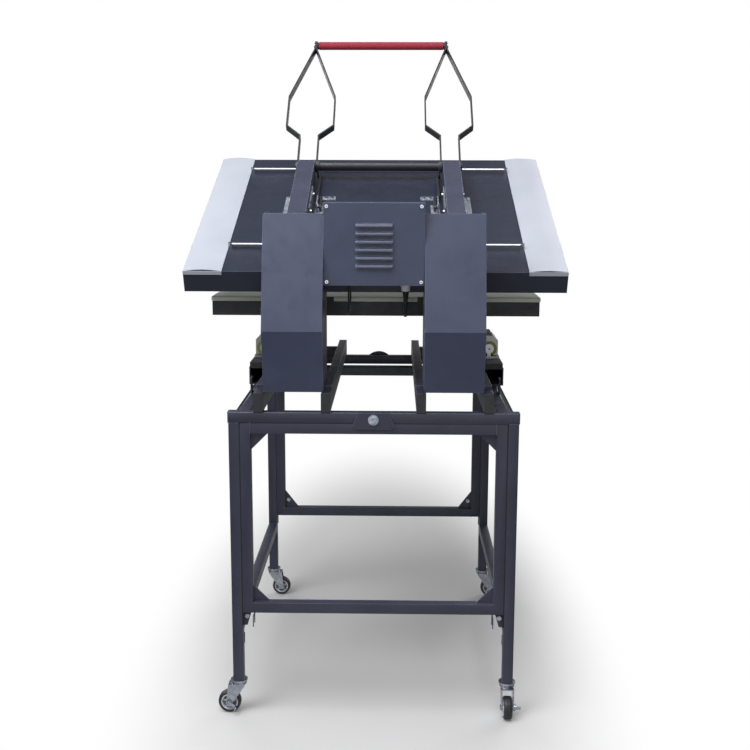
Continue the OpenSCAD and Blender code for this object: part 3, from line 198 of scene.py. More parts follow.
def islands(name):
    """Boxes of a CAD node's separate solids."""
    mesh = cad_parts[name].data
    work = bmesh.new()
    work.from_mesh(mesh)
    bmesh.ops.remove_doubles(work, verts=work.verts, dist=1e-6)
    seen, boxes = set(), []
    for start in work.verts:
        if start.index in seen:
            continue
        stack, found = [start], []
        seen.add(start.index)
        while stack:
            vert = stack.pop()
            found.append(vert.co.copy())
            for edge in vert.link_edges:
                other = edge.other_vert(vert)
                if other.index not in seen:
                    seen.add(other.index)
                    stack.append(other)
        low = Vector([min(p[i] for p in found) for i in range(3)])
        high = Vector([max(p[i] for p in found) for i in range(3)])
        boxes.append((low, high))
    work.free()
    return boxes


# Meshes


def piece(name, verts, faces, material, body, angle=40.0, marks=None):
    """A finished mesh object that rides on a body."""
    mesh = bpy.data.meshes.new(name)
    mesh.from_pydata([tuple(v) for v in verts], [], faces)
    work = bmesh.new()
    work.from_mesh(mesh)
    bmesh.ops.recalc_face_normals(work, faces=work.faces)
    work.to_mesh(mesh)
    work.free()
    for each in material if isinstance(material, (list, tuple)) else [material]:
        mesh.materials.append(each)
    if marks:
        mesh.polygons.foreach_set("material_index", marks)
    mesh.shade_smooth()
    mesh.set_sharp_from_angle(angle=math.radians(angle))
    obj = bpy.data.objects.new(name, mesh)
    bpy.context.scene.collection.objects.link(obj)
    if body:
        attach(obj, body)
    return obj


class Parts:
    """Vertices, faces and material numbers gathered for one mesh."""

    def __init__(self):
        self.verts, self.faces, self.marks = [], [], []

    def take(self, verts, faces, mark=0, place=None):
        """Adds verts and faces, moved by place."""
        start = len(self.verts)
        self.verts += [place @ Vector(v) if place else Vector(v) for v in verts]
        self.faces += [[i + start for i in face] for face in faces]
        self.marks += [mark] * len(faces)


def lathe(profile, sides):
    """Solid of revolution about Z from (radius, height) points, closed at both ends or as a ring."""
    verts, faces, n = [], [], len(profile)
    for k in range(sides):
        a = 2 * math.pi * k / sides
        verts += [(r * math.cos(a), r * math.sin(a), h) for r, h in profile]
    for k in range(sides):
        a, b = k * n, (k + 1) % sides * n
        for i in range(n - 1):
            faces.append([a + i, b + i, b + i + 1, a + i + 1])
    if profile[0] != profile[-1]:
        faces.append([k * n for k in range(sides)][::-1])
        faces.append([k * n + n - 1 for k in range(sides)])
    return verts, faces


def mirrored(half):
    """Closed ring profile from the points of its lower half."""
    return half + [(r, -h) for r, h in reversed(half)] + half[:1]


def ring(inner, outer, low, high):
    """Profile of a plain ring, sizes in mm."""
    points = ((inner, low), (outer, low), (outer, high), (inner, high), (inner, low))
    return [(r * MM, h * MM) for r, h in points]


def quarter(step):
    """1 - cos and 1 - sin over a quarter turn, in steps in degrees."""
    turns = [math.radians(a) for a in range(0, 91, step)]
    return [(1 - math.cos(a), 1 - math.sin(a)) for a in turns]


def block(low, high, scale=1):
    """Box as vertices and faces."""
    verts = [(x * scale, y * scale, z * scale)
             for x in (low[0], high[0]) for y in (low[1], high[1]) for z in (low[2], high[2])]
    faces = [[0, 1, 3, 2], [4, 6, 7, 5], [0, 4, 5, 1], [2, 3, 7, 6], [0, 2, 6, 4], [1, 5, 7, 3]]
    return verts, faces


def turned(at, degrees, axis):
    """Placement at a point, turned about an axis."""
    return Matrix.Translation(Vector(at)) @ Matrix.Rotation(math.radians(degrees), 4, axis)


def smooth_path(points, steps):
    """Catmull-Rom line through points."""
    ends = [points[0] * 2 - points[1]] + points + [points[-1] * 2 - points[-2]]
    line = []
    for i in range(1, len(ends) - 2):
        a, b, c, d = ends[i - 1:i + 3]
        for k in range(steps):
            t = k / steps
            bend = (2 * a - 5 * b + 4 * c - d) * t * t + (3 * b - a - 3 * c + d) * t ** 3
            line.append(0.5 * (2 * b + (c - a) * t + bend))
    return line + [points[-1].copy()]


def skin(rings, count):
    """Faces of a closed skin over rings of count points each."""
    faces = []
    for i in range(rings - 1):
        for k in range(count):
            a, b = i * count + k, i * count + (k + 1) % count
            faces.append([a, b, b + count, a + count])
    faces.append(list(range(count))[::-1])
    faces.append([(rings - 1) * count + k for k in range(count)])
    return faces


def tube(path, radius, sides):
    """Round tube along a path, with frames carried without twist."""
    verts = []
    across = Vector((1, 0, 0))
    for i, point in enumerate(path):
        along = (path[min(i + 1, len(path) - 1)] - path[max(i - 1, 0)]).normalized()
        across = (across - along * across.dot(along)).normalized()
        up = along.cross(across)
        for k in range(sides):
            a = 2 * math.pi * k / sides
            verts.append(point + radius * (math.cos(a) * across + math.sin(a) * up))
    return verts, skin(len(path), sides)


# Materials


def feed(tree, node, links):
    """Links or fills a node's sockets by name."""
    for name, value in links.items():
        socket = node.inputs[name]
        if isinstance(value, bpy.types.NodeSocket):
            tree.links.new(value, socket)
        else:
            socket.default_value = value


def add(tree, kind, links=None, **values):
    """New node with its properties set and its sockets linked or filled."""
    node = tree.nodes.new(kind)
    for name, value in values.items():
        setattr(node, name, value)
    feed(tree, node, links or {})
    return node


def new_finish(name):
    """Empty material with its output, its shader and object coordinates in mm."""
    material = bpy.data.materials.new(name)
    material.use_nodes = True
    tree = material.node_tree
    tree.nodes.clear()
    output = add(tree, "ShaderNodeOutputMaterial")
    shader = add(tree, "ShaderNodeBsdfPrincipled")
    feed(tree, output, {"Surface": shader.outputs["BSDF"]})
    place = add(tree, "ShaderNodeTexCoord")
    scaled = add(tree, "ShaderNodeVectorMath", {0: place.outputs["Object"], "Scale": 1 / MM},
                 operation="SCALE")
    return material, tree, shader, scaled.outputs["Vector"]


def noise(tree, coords, scale, detail=3.0, rough=0.55):
    """Noise value with the given number of waves per mm."""
    return add(tree, "ShaderNodeTexNoise", {"Vector": coords, "Scale": scale, "Detail": detail,
                                            "Roughness": rough}).outputs["Fac"]


def ranged(tree, value, start, end, low, high):
    """Value carried from the range start to end to the range low to high."""
    return add(tree, "ShaderNodeMapRange", {"Value": value, "From Min": start, "From Max": end,
                                            "To Min": low, "To Max": high}).outputs["Result"]


def spread(tree, value, low, high):
    """Noise value, which keeps to its middle, carried to low to high."""
    return ranged(tree, value, 0.3, 0.7, low, high)


def cloudy(tree, coords, scale, detail=3.0):
    """Slow noise from 0 to 1."""
    return spread(tree, noise(tree, coords, scale, detail), 0.0, 1.0)


def mixed(tree, value, first, second):
    """Colour between two colours, each a code or a socket, by value."""
    mix = add(tree, "ShaderNodeMix", {"Factor": value}, data_type="RGBA")
    for socket, colour in zip([s for s in mix.inputs if s.type == "RGBA"], (first, second)):
        if isinstance(colour, str):
            socket.default_value = srgb(colour)
        else:
            tree.links.new(colour, socket)
    return next(s for s in mix.outputs if s.type == "RGBA")


def relief(tree, shader, height, depth, edge=0.0):
    """Bump of the given depth in mm, on rounded edges of the given radius in mm."""
    links = {"Height": height, "Strength": 1.0, "Distance": depth * MM}
    if edge:
        links["Normal"] = add(tree, "ShaderNodeBevel", {"Radius": edge * MM}, samples=4).outputs["Normal"]
    feed(tree, shader, {"Normal": add(tree, "ShaderNodeBump", links).outputs["Normal"]})


def edge_highlight_mask(tree, edge):
    """Mask for the painted edge highlight: 1 on sharp edges within edge mm and 0 on flat faces."""
    soft = add(tree, "ShaderNodeBevel", {"Radius": edge * MM}, samples=6).outputs["Normal"]
    flat = add(tree, "ShaderNodeNewGeometry").outputs["Normal"]
    match = add(tree, "ShaderNodeVectorMath", {0: soft, 1: flat}, operation="DOT_PRODUCT").outputs["Value"]
    return ranged(tree, match, 0.999, 0.86, 0.0, 1.0)


def powder_coat(name, dark, light, edge_highlight_colour, rough=0.42):
    """Satin powder coat: orange-peel texture, faint cloudiness and rounded edges, with a painted highlight
    in a paler colour along the sharp edges.
    """
    material, tree, shader, coords = new_finish(name)
    coat = mixed(tree, cloudy(tree, coords, 0.012, 4), dark, light)
    feed(tree, shader, {
        # Painted highlight: the paler third colour is laid on the edges that the bevel mask finds.
        "Base Color": mixed(tree, edge_highlight_mask(tree, 1.2), coat, edge_highlight_colour),
        "Roughness": spread(tree, noise(tree, coords, 0.05), rough - 0.07, rough + 0.07),
        "Specular IOR Level": 0.55,
    })
    relief(tree, shader, noise(tree, coords, 0.9, 2), 0.05, 1.0)
    return material


def galvanised(name):
    """Zinc coat: pale spangle cells whose shine differs from cell to cell."""
    material, tree, shader, coords = new_finish(name)
    cells = add(tree, "ShaderNodeTexVoronoi", {"Vector": coords, "Scale": 0.22, "Randomness": 1.0})
    value = add(tree, "ShaderNodeSeparateColor", {"Color": cells.outputs["Color"]}).outputs["Red"]
    feed(tree, shader, {
        "Base Color": mixed(tree, value, "#98a1b0", "#c6ccd8"),
        "Metallic": 0.8,
        "Roughness": spread(tree, value, 0.34, 0.52),
    })
    relief(tree, shader, noise(tree, coords, 0.4), 0.03, 0.6)
    return material


def brushed(name, dark, light, rough, metal=1.0, grain=(0.02, 1.4, 1.4)):
    """Metal with fine grinding lines that run along one axis."""
    material, tree, shader, coords = new_finish(name)
    stretched = add(tree, "ShaderNodeVectorMath", {0: coords, 1: grain}, operation="MULTIPLY")
    lines = noise(tree, stretched.outputs["Vector"], 1.0, 2)
    feed(tree, shader, {
        "Base Color": mixed(tree, spread(tree, lines, 0.0, 1.0), dark, light),
        "Metallic": metal,
        "Roughness": spread(tree, lines, rough - 0.06, rough + 0.08),
    })
    relief(tree, shader, lines, 0.02, 0.5)
    return material


def bright_plate(name, dark, light, rough):
    """Plated steel: clear reflections, slightly dulled in patches by handling."""
    material, tree, shader, coords = new_finish(name)
    patch = noise(tree, coords, 0.08, 3)
    feed(tree, shader, {
        "Base Color": mixed(tree, spread(tree, patch, 0.0, 1.0), dark, light),
        "Metallic": 1.0,
        "Roughness": spread(tree, patch, rough, rough + 0.1),
    })
    relief(tree, shader, noise(tree, coords, 0.3), 0.01, 0.5)
    return material


def enamel(name, dark, light):
    """Smooth pale enamel with a soft coat and a trace of unevenness."""
    material, tree, shader, coords = new_finish(name)
    feed(tree, shader, {
        "Base Color": mixed(tree, cloudy(tree, coords, 0.006, 2), dark, light),
        "Roughness": spread(tree, noise(tree, coords, 0.04), 0.3, 0.4),
        "Coat Weight": 0.25,
    })
    relief(tree, shader, noise(tree, coords, 0.02, 2), 0.06, 0.8)
    return material


def foam(name, dark, light, pore, depth, sheen=0.0):
    """Closed-cell foam: small round pores, matt, darker between the cells."""
    material, tree, shader, coords = new_finish(name)
    cells = add(tree, "ShaderNodeTexVoronoi", {"Vector": coords, "Scale": pore}).outputs["Distance"]
    patch = spread(tree, noise(tree, coords, 0.03), 0.2, 0.8)
    tone = add(tree, "ShaderNodeMath", {0: patch, 1: cells}, operation="ADD").outputs["Value"]
    feed(tree, shader, {
        "Base Color": mixed(tree, spread(tree, tone, 1.0, 0.0), dark, light),
        "Roughness": spread(tree, cells, 0.78, 0.9),
        "Sheen Weight": sheen,
    })
    relief(tree, shader, cells, depth)
    return material


def moulded(name, dark, light, rough, grain=0.5, depth=0.03):
    """Moulded rubber or plastic with a fine matt grain."""
    material, tree, shader, coords = new_finish(name)
    feed(tree, shader, {
        "Base Color": mixed(tree, cloudy(tree, coords, 0.05), dark, light),
        "Roughness": spread(tree, noise(tree, coords, grain), rough - 0.06, rough + 0.06),
    })
    relief(tree, shader, noise(tree, coords, grain, 2), depth, 0.4)
    return material


def board_green(name):
    """Circuit board: green lacquer over paler copper runs."""
    material, tree, shader, coords = new_finish(name)
    runs = add(tree, "ShaderNodeTexBrick", {
        "Vector": coords, "Scale": 0.08, "Mortar Size": 0.03,
        "Color1": srgb("#12502c"), "Color2": srgb("#175a33"), "Mortar": srgb("#5c8f4a"),
    }, offset=0.5)
    feed(tree, shader, {"Base Color": runs.outputs["Color"], "Roughness": 0.3})
    relief(tree, shader, runs.outputs["Fac"], 0.03)
    return material


def make_finishes():
    """All finishes by name."""
    return {
        # The third colour of each powder coat is its painted edge highlight.
        "navy": powder_coat("navy_powder_coat", "#262838", "#2d2f41", "#676a82"),
        "navy_panel": powder_coat("panel_powder_coat", "#31374f", "#373e57", "#757c94"),
        # Painted shade: the head cover has the panels' paint made darker for the shade on its down-facing
        # faces.
        "head_coat_painted_shade": powder_coat("head_panel_coat_painted_shade", "#1b2132", "#202638", "#646a82"),
        "arm_coat": powder_coat("arm_powder_coat", "#343849", "#3c4052", "#a4a8bb"),
        "black_coat": powder_coat("black_powder_coat", "#1d1e23", "#24262c", "#4a4d56", 0.5),
        "shaft_coat": powder_coat("shaft_dark_coat", "#1c1d25", "#24252e", "#55566a", 0.45),
        "zinc": galvanised("galvanised_sheet"),
        "steel": brushed("turned_steel", "#9c9ea3", "#c3c5c9", 0.3),
        "housing": brushed("bearing_housing", "#9d9ea1", "#bcbdbf", 0.42, 0.9),
        "aluminium": brushed("milled_aluminium", "#a7a8aa", "#c6c7c9", 0.36, 1.0, (0.03, 0.8, 0.8)),
        "pan": brushed("pan_sheet", "#5b5e66", "#6b6e77", 0.4, 0.8),
        "chrome": bright_plate("chrome_plate", "#b4b9c1", "#dfe2e7", 0.1),
        "plated": bright_plate("plated_caster_steel", "#8f959e", "#b4b9c1", 0.2),
        "pale": enamel("pale_enamel", "#a8acb8", "#b1b5c0"),
        "pad": foam("foamed_silicone", "#d3d7cc", "#eef0e8", 0.9, 0.25),
        "red_foam": foam("red_grip_foam", "#8e2436", "#b23a4e", 1.1, 0.2, 0.08),
        "rubber": moulded("black_rubber", "#17181b", "#222328", 0.62, 0.4, 0.06),
        "tread": moulded("caster_tread", "#17181b", "#212226", 0.5, 0.3, 0.08),
        # Painted shade: near-black finish for the strips laid in the seams between the stand's frames.
        "seam_shade": moulded("painted_joint_shade", "#08080a", "#0d0d10", 0.75),
        "rim": moulded("caster_rim", "#a9adb5", "#bcc0c8", 0.4),
        "hub": moulded("caster_hub", "#5d6068", "#71747d", 0.5),
        # Black plastic for the rail plugs; on the screw recesses the same finish is painted shade.
        "black_plastic": moulded("black_plastic", "#1d1e22", "#26272c", 0.45),
        "grey_plastic": moulded("gland_plastic", "#dcdde2", "#e8e9ee", 0.42),
        "green_seal": moulded("green_seal", "#84932a", "#9aa83a", 0.45),
        "board": board_green("circuit_board"),
        "mica": moulded("mica_sheet", "#6b4a2a", "#8a6238", 0.4, 0.1, 0.05),
        "wool": foam("ceramic_wool", "#c9c8bf", "#efeee6", 0.15, 0.6),
        "bead": brushed("weld_bead", "#3c3d4b", "#4b4d5c", 0.45, 0.0),
    }


FINISH_NODES = {
    "navy": (*TUBED, "tie_plates", "tower_left", "tower_right"),
    "navy_panel": ("hood_left", "hood_right", "control_tray", "control_cover"),
    "head_coat_painted_shade": ("head_cover",),
    "arm_coat": ("arm_left", "arm_right"),
    "black_coat": ("rail_risers", "platen_brackets", "lower_platen", "pad_clips", "wishbone_left",
                   "wishbone_right", "link_bars"),
    "shaft_coat": ("cross_shaft",),
    "zinc": ("stand_bolts", "counterbalance_springs", "arm_brackets"),
    "steel": ("slide_rails", "pivot_shafts", "grip_core"),
    "housing": ("bearing_blocks",),
    "aluminium": ("heating_platen",),
    "pan": ("bottom_pan",),
    "chrome": ("cover_screws", "drawer_handle", "bracket_bolts", "tie_rods"),
    "plated": ("caster_stems", "brake_lever_left", "brake_lever_right",
               *("caster_fork_" + c for c in CORNERS)),
    "pale": ("guard_left", "guard_right"),
    "pad": ("silicone_pad",),
    "red_foam": ("grip_sleeve",),
    "rubber": ("heater_lead", "sensor_lead"),
    "tread": tuple("caster_wheel_" + c for c in CORNERS),
    "black_plastic": ("rail_plugs",),
    "grey_plastic": ("cable_fittings",),
    "green_seal": ("bearing_seals",),
    "board": ("control_board",),
    "mica": ("heater_element",),
    "wool": ("insulation",),
}
NODE_FINISH = {node: finish for finish, nodes in FINISH_NODES.items() for node in nodes}
FINISH = {}


# Stage and camera


def picture_camera():
    """Camera at the photograph's viewing angle."""
    data = bpy.data.cameras.new("picture_camera")
    camera = bpy.data.objects.new("picture_camera", data)
    bpy.context.scene.collection.objects.link(camera)
    data.lens = LENS
    data.sensor_width = SENSOR
    data.clip_start = 0.05
    data.clip_end = 60.0
    camera.rotation_mode = "XYZ"
    turn = Euler([math.radians(a) for a in CAMERA_TURN], "XYZ").to_matrix()
    roll = Euler((0.0, 0.0, math.radians(CAMERA_ROLL)), "XYZ").to_matrix()
    camera.matrix_world = (turn @ roll).to_4x4()
    camera.location = CAMERA_AT
    bpy.context.scene.camera = camera


def stray(tree):
    """1 to the camera and STRAY_LIGHT to every other ray."""
    seen = add(tree, "ShaderNodeLightPath").outputs["Is Camera Ray"]
    return ranged(tree, seen, 0.0, 1.0, STRAY_LIGHT, 1.0)


def floor_finish():
    """Grey studio floor that turns to plain white away from the press; its grey oval is partly painted
    shadow, and the lights cast the shade inside it.
    """
    material, tree, shader, coords = new_finish("studio_floor")
    feed(tree, shader, {"Base Color": srgb("#b9b9ba"), "Roughness": 0.8})
    shrink = tuple(MM / half for half in FLOOR_OVAL) + (0.0,)
    oval = add(tree, "ShaderNodeVectorMath", {0: coords, 1: shrink}, operation="MULTIPLY").outputs["Vector"]
    away = add(tree, "ShaderNodeVectorMath", {0: oval}, operation="LENGTH").outputs["Value"]
    # Painted shadow in part: the grey oval fades to white in the shape of the press's shadow band.
    fade = add(tree, "ShaderNodeMapRange", {"Value": away, "From Min": 0.45, "From Max": 1.0},
               interpolation_type="SMOOTHSTEP").outputs["Result"]
    white = add(tree, "ShaderNodeEmission", {"Color": (1, 1, 1, 1), "Strength": stray(tree)})
    mix = add(tree, "ShaderNodeMixShader", {0: fade, 1: shader.outputs["BSDF"],
                                            2: white.outputs["Emission"]})
    output = next(n for n in tree.nodes if n.type == "OUTPUT_MATERIAL")
    feed(tree, output, {"Surface": mix.outputs["Shader"]})
    return material


def area_light(name, place, aim, size, power):
    """Soft square light aimed at a point."""
    data = bpy.data.lights.new(name, "AREA")
    data.size = size
    data.energy = power
    obj = bpy.data.objects.new(name, data)
    bpy.context.scene.collection.objects.link(obj)
    obj.location = place
    obj.rotation_euler = (Vector(aim) - Vector(place)).to_track_quat("-Z", "Y").to_euler()
    return obj


# Settings and operators


class HEATPRESS_PG_settings(bpy.types.PropertyGroup):
    """Sizes of the dressed pieces."""

    pad_corner: bpy.props.FloatProperty(name="Pad corner", description="Corner radius of the pad in mm",
                                        default=9.0, min=2.0, max=20.0)
    pad_edge: bpy.props.FloatProperty(name="Pad edge", description="Rounding of the pad's edge in mm",
                                      default=4.0, min=1.0, max=5.0)
    sleeve_round: bpy.props.FloatProperty(name="Sleeve end", description="Rounding of its ends in mm",
                                          default=4.0, min=1.0, max=6.0)
    lead_sides: bpy.props.IntProperty(name="Lead sides", description="Sides round a lead",
                                      default=20, min=8, max=32)
    spokes: bpy.props.IntProperty(name="Spokes", description="Spokes in a wheel",
                                  default=5, min=3, max=8)
    bead_radius: bpy.props.FloatProperty(name="Weld bead", description="Radius of a weld ripple in mm",
                                         default=1.5, min=0.5, max=3.0)
    bead_pitch: bpy.props.FloatProperty(name="Weld pitch", description="Distance between ripples in mm",
                                        default=1.9, min=0.8, max=4.0)
    tube_edge: bpy.props.FloatProperty(name="Tube edge", description="Corner radius of the tubes in mm",
                                       default=2.2, min=0.2, max=3.0)
    key_power: bpy.props.FloatProperty(name="Key light", description="Power of the key light in watts",
                                       default=118.0, min=0.0, max=400.0)
    fill_power: bpy.props.FloatProperty(name="Fill light", description="Power of the fill lights in watts",
                                        default=70.0, min=0.0, max=400.0)
    top_power: bpy.props.FloatProperty(name="Top light", description="Power of the overhead light in watts",
                                       default=180.0, min=0.0, max=600.0)


class HEATPRESS_OT_camera(bpy.types.Operator):
    """Sets the camera at the photograph's viewing angle"""

    bl_idname = "heatpress.camera"
    bl_label = "Camera"

    def execute(self, context):
        picture_camera()
        return {"FINISHED"}


def lead_points(x, route):
    """A lead's line from its gland to the underside of the open head."""
    points = [side_point(x, y, z) for y, z in route]
    pivot = middle("pivot_shafts")
    pad = corners("silicone_pad")[1].z
    rear = corners("rear_frame")[0].y
    turn = Matrix.Rotation(HEAD_OPEN, 3, "X")
    closed = Vector((0, rear + LEAD_IN * MM - pivot.y, pad + MM - pivot.z))
    end = turn @ closed
    end = Vector((x * MM, end.y + pivot.y, end.z + pivot.z))
    down = turn @ Vector((0, 0, -1))
    return points + [end + down * LEAD_TAIL * MM, end + down * LEAD_GAP * MM]


def boot(radius, base, length):
    """Profile of a tapered strain relief with ribs, from its wide end down, sizes in mm."""
    bore = radius * 0.98
    rib = length * 0.86 / BOOT_RIBS
    profile = [(bore, 0.0), (base, 0.0), (base, length * 0.12)]
    for k in range(BOOT_RIBS):
        top = length * 0.12 + rib * k
        wide = base + (radius * 1.15 - base) * (top / length)
        profile += [(wide, top + rib * 0.1), (wide, top + rib * 0.6), (wide * 0.9, top + rib * 0.7),
                    (wide * 0.9, top + rib)]
    profile += [(bore, length), (bore, 0.0)]
    return [(r * MM, h * MM) for r, h in profile]


class HEATPRESS_OT_leads(bpy.types.Operator):
    """Makes the heater lead and the sensor lead with their strain reliefs"""

    bl_idname = "heatpress.leads"
    bl_label = "Leads"

    def execute(self, context):
        settings = context.scene.heat_press
        for name, x, route, radius, boot_l, boot_r in LEADS:
            points = lead_points(x, route)
            path = smooth_path(points, LEAD_STEPS)
            verts, faces = tube(path, radius * MM, settings.lead_sides)
            lead = piece(name + "_run", verts, faces, FINISH["rubber"], None, 60)
            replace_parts(lead, name)
            start, finish = points[0], points[-1]
            for tag, body, at, way, length in (
                    ("fixed", "stand", start, Vector((0, 0, -1)), boot_l),
                    ("head", "head", finish, (points[-2] - finish).normalized(), boot_l * HEAD_BOOT_SHARE)):
                place = Matrix.Translation(at) @ way.to_track_quat("Z", "X").to_matrix().to_4x4()
                relief_parts = Parts()
                relief_parts.take(*lathe(boot(radius, boot_r, length), BOOT_SIDES), 0, place)
                piece(name + "_relief_" + tag, relief_parts.verts, relief_parts.faces,
                                  FINISH["rubber"], body, 35)
            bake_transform(lead)
        return {"FINISHED"}


def rounded_loop(low, high, corner, inset, z, steps):
    """Points of a rounded rectangle at one height."""
    corner = max(corner - inset, 0.2 * MM)
    x0, x1, y0, y1 = low.x + inset, high.x - inset, low.y + inset, high.y - inset
    loop = []
    for cx, cy, start in ((x1 - corner, y1 - corner, 0), (x0 + corner, y1 - corner, 90),
                          (x0 + corner, y0 + corner, 180), (x1 - corner, y0 + corner, 270)):
        for k in range(steps + 1):
            a = math.radians(start + 90 * k / steps)
            loop.append((cx + corner * math.cos(a), cy + corner * math.sin(a), z))
    return loop


class HEATPRESS_OT_pad(bpy.types.Operator):
    """Makes the foamed silicone pad with its crown and soft edges"""

    bl_idname = "heatpress.pad"
    bl_label = "Pad"

    def execute(self, context):
        settings = context.scene.heat_press
        low, high = corners("silicone_pad")
        if high.z <= low.z:
            raise RuntimeError("the pad has no thickness")
        edge, corner = settings.pad_edge * MM, settings.pad_corner * MM
        crown = PAD_CROWN * MM
        loops = [(edge * c * 0.6, low.z + edge * 0.4 * s) for c, s in reversed(quarter(30))]
        loops += [(edge * c, high.z - crown - edge * s) for c, s in quarter(15)]
        loops += [(edge + inset * MM, high.z - crown * share) for inset, share in PAD_RINGS]
        verts = []
        for inset, z in loops:
            verts += rounded_loop(low, high, corner, inset, z, PAD_CORNER_STEPS)
        faces = skin(len(loops), 4 * (PAD_CORNER_STEPS + 1))
        pad = piece("press_pad", verts, faces, FINISH["pad"], "drawer", 50)
        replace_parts(pad, "silicone_pad")
        return {"FINISHED"}


class HEATPRESS_OT_grip(bpy.types.Operator):
    """Makes the red foam sleeve and its end rings"""

    bl_idname = "heatpress.grip"
    bl_label = "Grip"

    def execute(self, context):
        low, high = corners("grip_sleeve")
        half = (high.x - low.x) / 2
        radius = (high.z - low.z) / 2
        bore = radius * SLEEVE_BORE
        soft = context.scene.heat_press.sleeve_round * MM
        end = quarter(15)
        profile = [(bore, -half)]
        profile += [(radius - soft * c, -half + soft * s) for c, s in reversed(end)]
        profile += [(radius - SLEEVE_TAPER * MM * abs(share), half * share)
                    for share in (-0.8, -0.55, -0.3, 0.0, 0.3, 0.55, 0.8)]
        profile += [(radius - soft * c, half - soft * s) for c, s in end]
        profile += [(bore, half), (bore, -half)]
        place = turned((low + high) / 2, 90, "Y")
        foam_parts = Parts()
        foam_parts.take(*lathe(profile, 64), 0, place)
        sleeve = piece("foam_sleeve", foam_parts.verts, foam_parts.faces, FINISH["red_foam"], "handle",
                       60)
        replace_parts(sleeve, "grip_sleeve")
        rings = Parts()
        for side in SIDES:
            profile = mirrored([(radius * 0.72, -1.1 * MM), (radius * 0.9, -1.1 * MM),
                                (radius * 0.94, -0.5 * MM)])
            over = Matrix.Translation(Vector((side * (half + 1.2 * MM), 0, 0)))
            rings.take(*lathe(profile, 48), 0, over @ place)
        piece("grip_end_rings", rings.verts, rings.faces, FINISH["rubber"], "handle", 35)
        return {"FINISHED"}


class HEATPRESS_OT_wheels(bpy.types.Operator):
    """Makes the caster wheels with spoked hubs, rims and rounded treads"""

    bl_idname = "heatpress.wheels"
    bl_label = "Wheels"

    def execute(self, context):
        spokes = context.scene.heat_press.spokes
        for name in CORNERS:
            low, high = corners("caster_wheel_" + name)
            size = high - low
            axis = 0 if size.x < size.y else 1
            r, half = size.z / 2, size[axis] / 2
            seat = r * 0.74
            place = turned((low + high) / 2, 90, "YX"[axis])
            tread = [(seat, -half * 0.88), (r * 0.9, -half * 0.9), (r * 0.955, -half * 0.8),
                     (r * 0.99, -half * 0.55), (r, -half * 0.16), (r * 0.975, -half * 0.1)]
            rim = [(seat * 0.84, -half * 0.8), (seat * 0.88, -half * 0.93), (seat * 0.97, -half * 0.93),
                   (seat, -half * 0.85)]
            web = [(r * 0.15, -half * 0.3), (seat * 0.86, -half * 0.3)]
            hub = [(r * 0.15, -half * 0.96), (r * 0.26, -half * 0.96), (r * 0.3, -half * 0.85)]
            parts = Parts()
            for profile, sides, mark in ((tread, 72, 0), (rim, 72, 1), (web, 48, 2), (hub, 48, 1)):
                parts.take(*lathe(mirrored(profile), sides), mark, place)
            for k in range(spokes):
                spin = Matrix.Rotation(2 * math.pi * (k + 0.25) / spokes, 4, "Z")
                parts.take(*block((r * 0.28, -r * 0.055, -half * 0.72),
                                  (seat * 0.86, r * 0.055, half * 0.72)), 1, place @ spin)
            wheel = piece("wheel_" + name + "_dressed", parts.verts, parts.faces,
                          [FINISH["tread"], FINISH["rim"], FINISH["hub"]], "wheel_" + name, 35,
                          parts.marks)
            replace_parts(wheel, "caster_wheel_" + name)
        return {"FINISHED"}


def bead_tree(material):
    """Node tree that lays weld ripples along the edges of a mesh."""
    tree = bpy.data.node_groups.new("weld_ripples", "GeometryNodeTree")
    face = tree.interface
    face.new_socket("Geometry", in_out="INPUT", socket_type="NodeSocketGeometry")
    face.new_socket("Ripple radius", in_out="INPUT", socket_type="NodeSocketFloat")
    face.new_socket("Ripple pitch", in_out="INPUT", socket_type="NodeSocketFloat")
    face.new_socket("Seed", in_out="INPUT", socket_type="NodeSocketInt")
    face.new_socket("Geometry", in_out="OUTPUT", socket_type="NodeSocketGeometry")
    source = add(tree, "NodeGroupInput").outputs
    curve = add(tree, "GeometryNodeMeshToCurve", {"Mesh": source["Geometry"]}).outputs["Curve"]
    points = add(tree, "GeometryNodeResampleCurve", {"Curve": curve, "Length": source["Ripple pitch"]},
                 mode="LENGTH").outputs["Curve"]
    ripple = add(tree, "GeometryNodeMeshIcoSphere", {"Radius": source["Ripple radius"],
                                                     "Subdivisions": 2}).outputs["Mesh"]
    vary = add(tree, "FunctionNodeRandomValue", {"Seed": source["Seed"]}, data_type="FLOAT")
    for socket in vary.inputs:
        if socket.identifier in RIPPLE_SCALE:
            socket.default_value = RIPPLE_SCALE[socket.identifier]
    value = next(s for s in vary.outputs if s.identifier == "Value_001")
    laid = add(tree, "GeometryNodeInstanceOnPoints", {"Points": points, "Instance": ripple,
                                                      "Scale": value}).outputs["Instances"]
    real = add(tree, "GeometryNodeRealizeInstances", {"Geometry": laid}).outputs["Geometry"]
    done = add(tree, "GeometryNodeSetMaterial", {"Geometry": real, "Material": material}).outputs["Geometry"]
    add(tree, "NodeGroupOutput", {"Geometry": done})
    return tree


def rippled(name, lines, tree, values, body):
    """Plain mesh of the ripples along the lines, riding on a body."""
    verts = [p for line in lines for p in line]
    edges = [(2 * i, 2 * i + 1) for i in range(len(lines))]
    mesh = bpy.data.meshes.new(name + "_lines")
    mesh.from_pydata([tuple(v) for v in verts], edges, [])
    source = bpy.data.objects.new(name + "_lines", mesh)
    bpy.context.scene.collection.objects.link(source)
    modifier = source.modifiers.new("ripples", "NODES")
    modifier.node_group = tree
    for item in tree.interface.items_tree:
        if item.in_out == "INPUT" and item.name in values:
            modifier[item.identifier] = values[item.name]
    solid = bpy.data.meshes.new_from_object(source.evaluated_get(bpy.context.evaluated_depsgraph_get()))
    bpy.data.objects.remove(source)
    if not solid.polygons:
        raise RuntimeError(name + " came out empty")
    solid.shade_smooth()
    obj = bpy.data.objects.new(name, solid)
    bpy.context.scene.collection.objects.link(obj)
    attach(obj, body)
    return obj


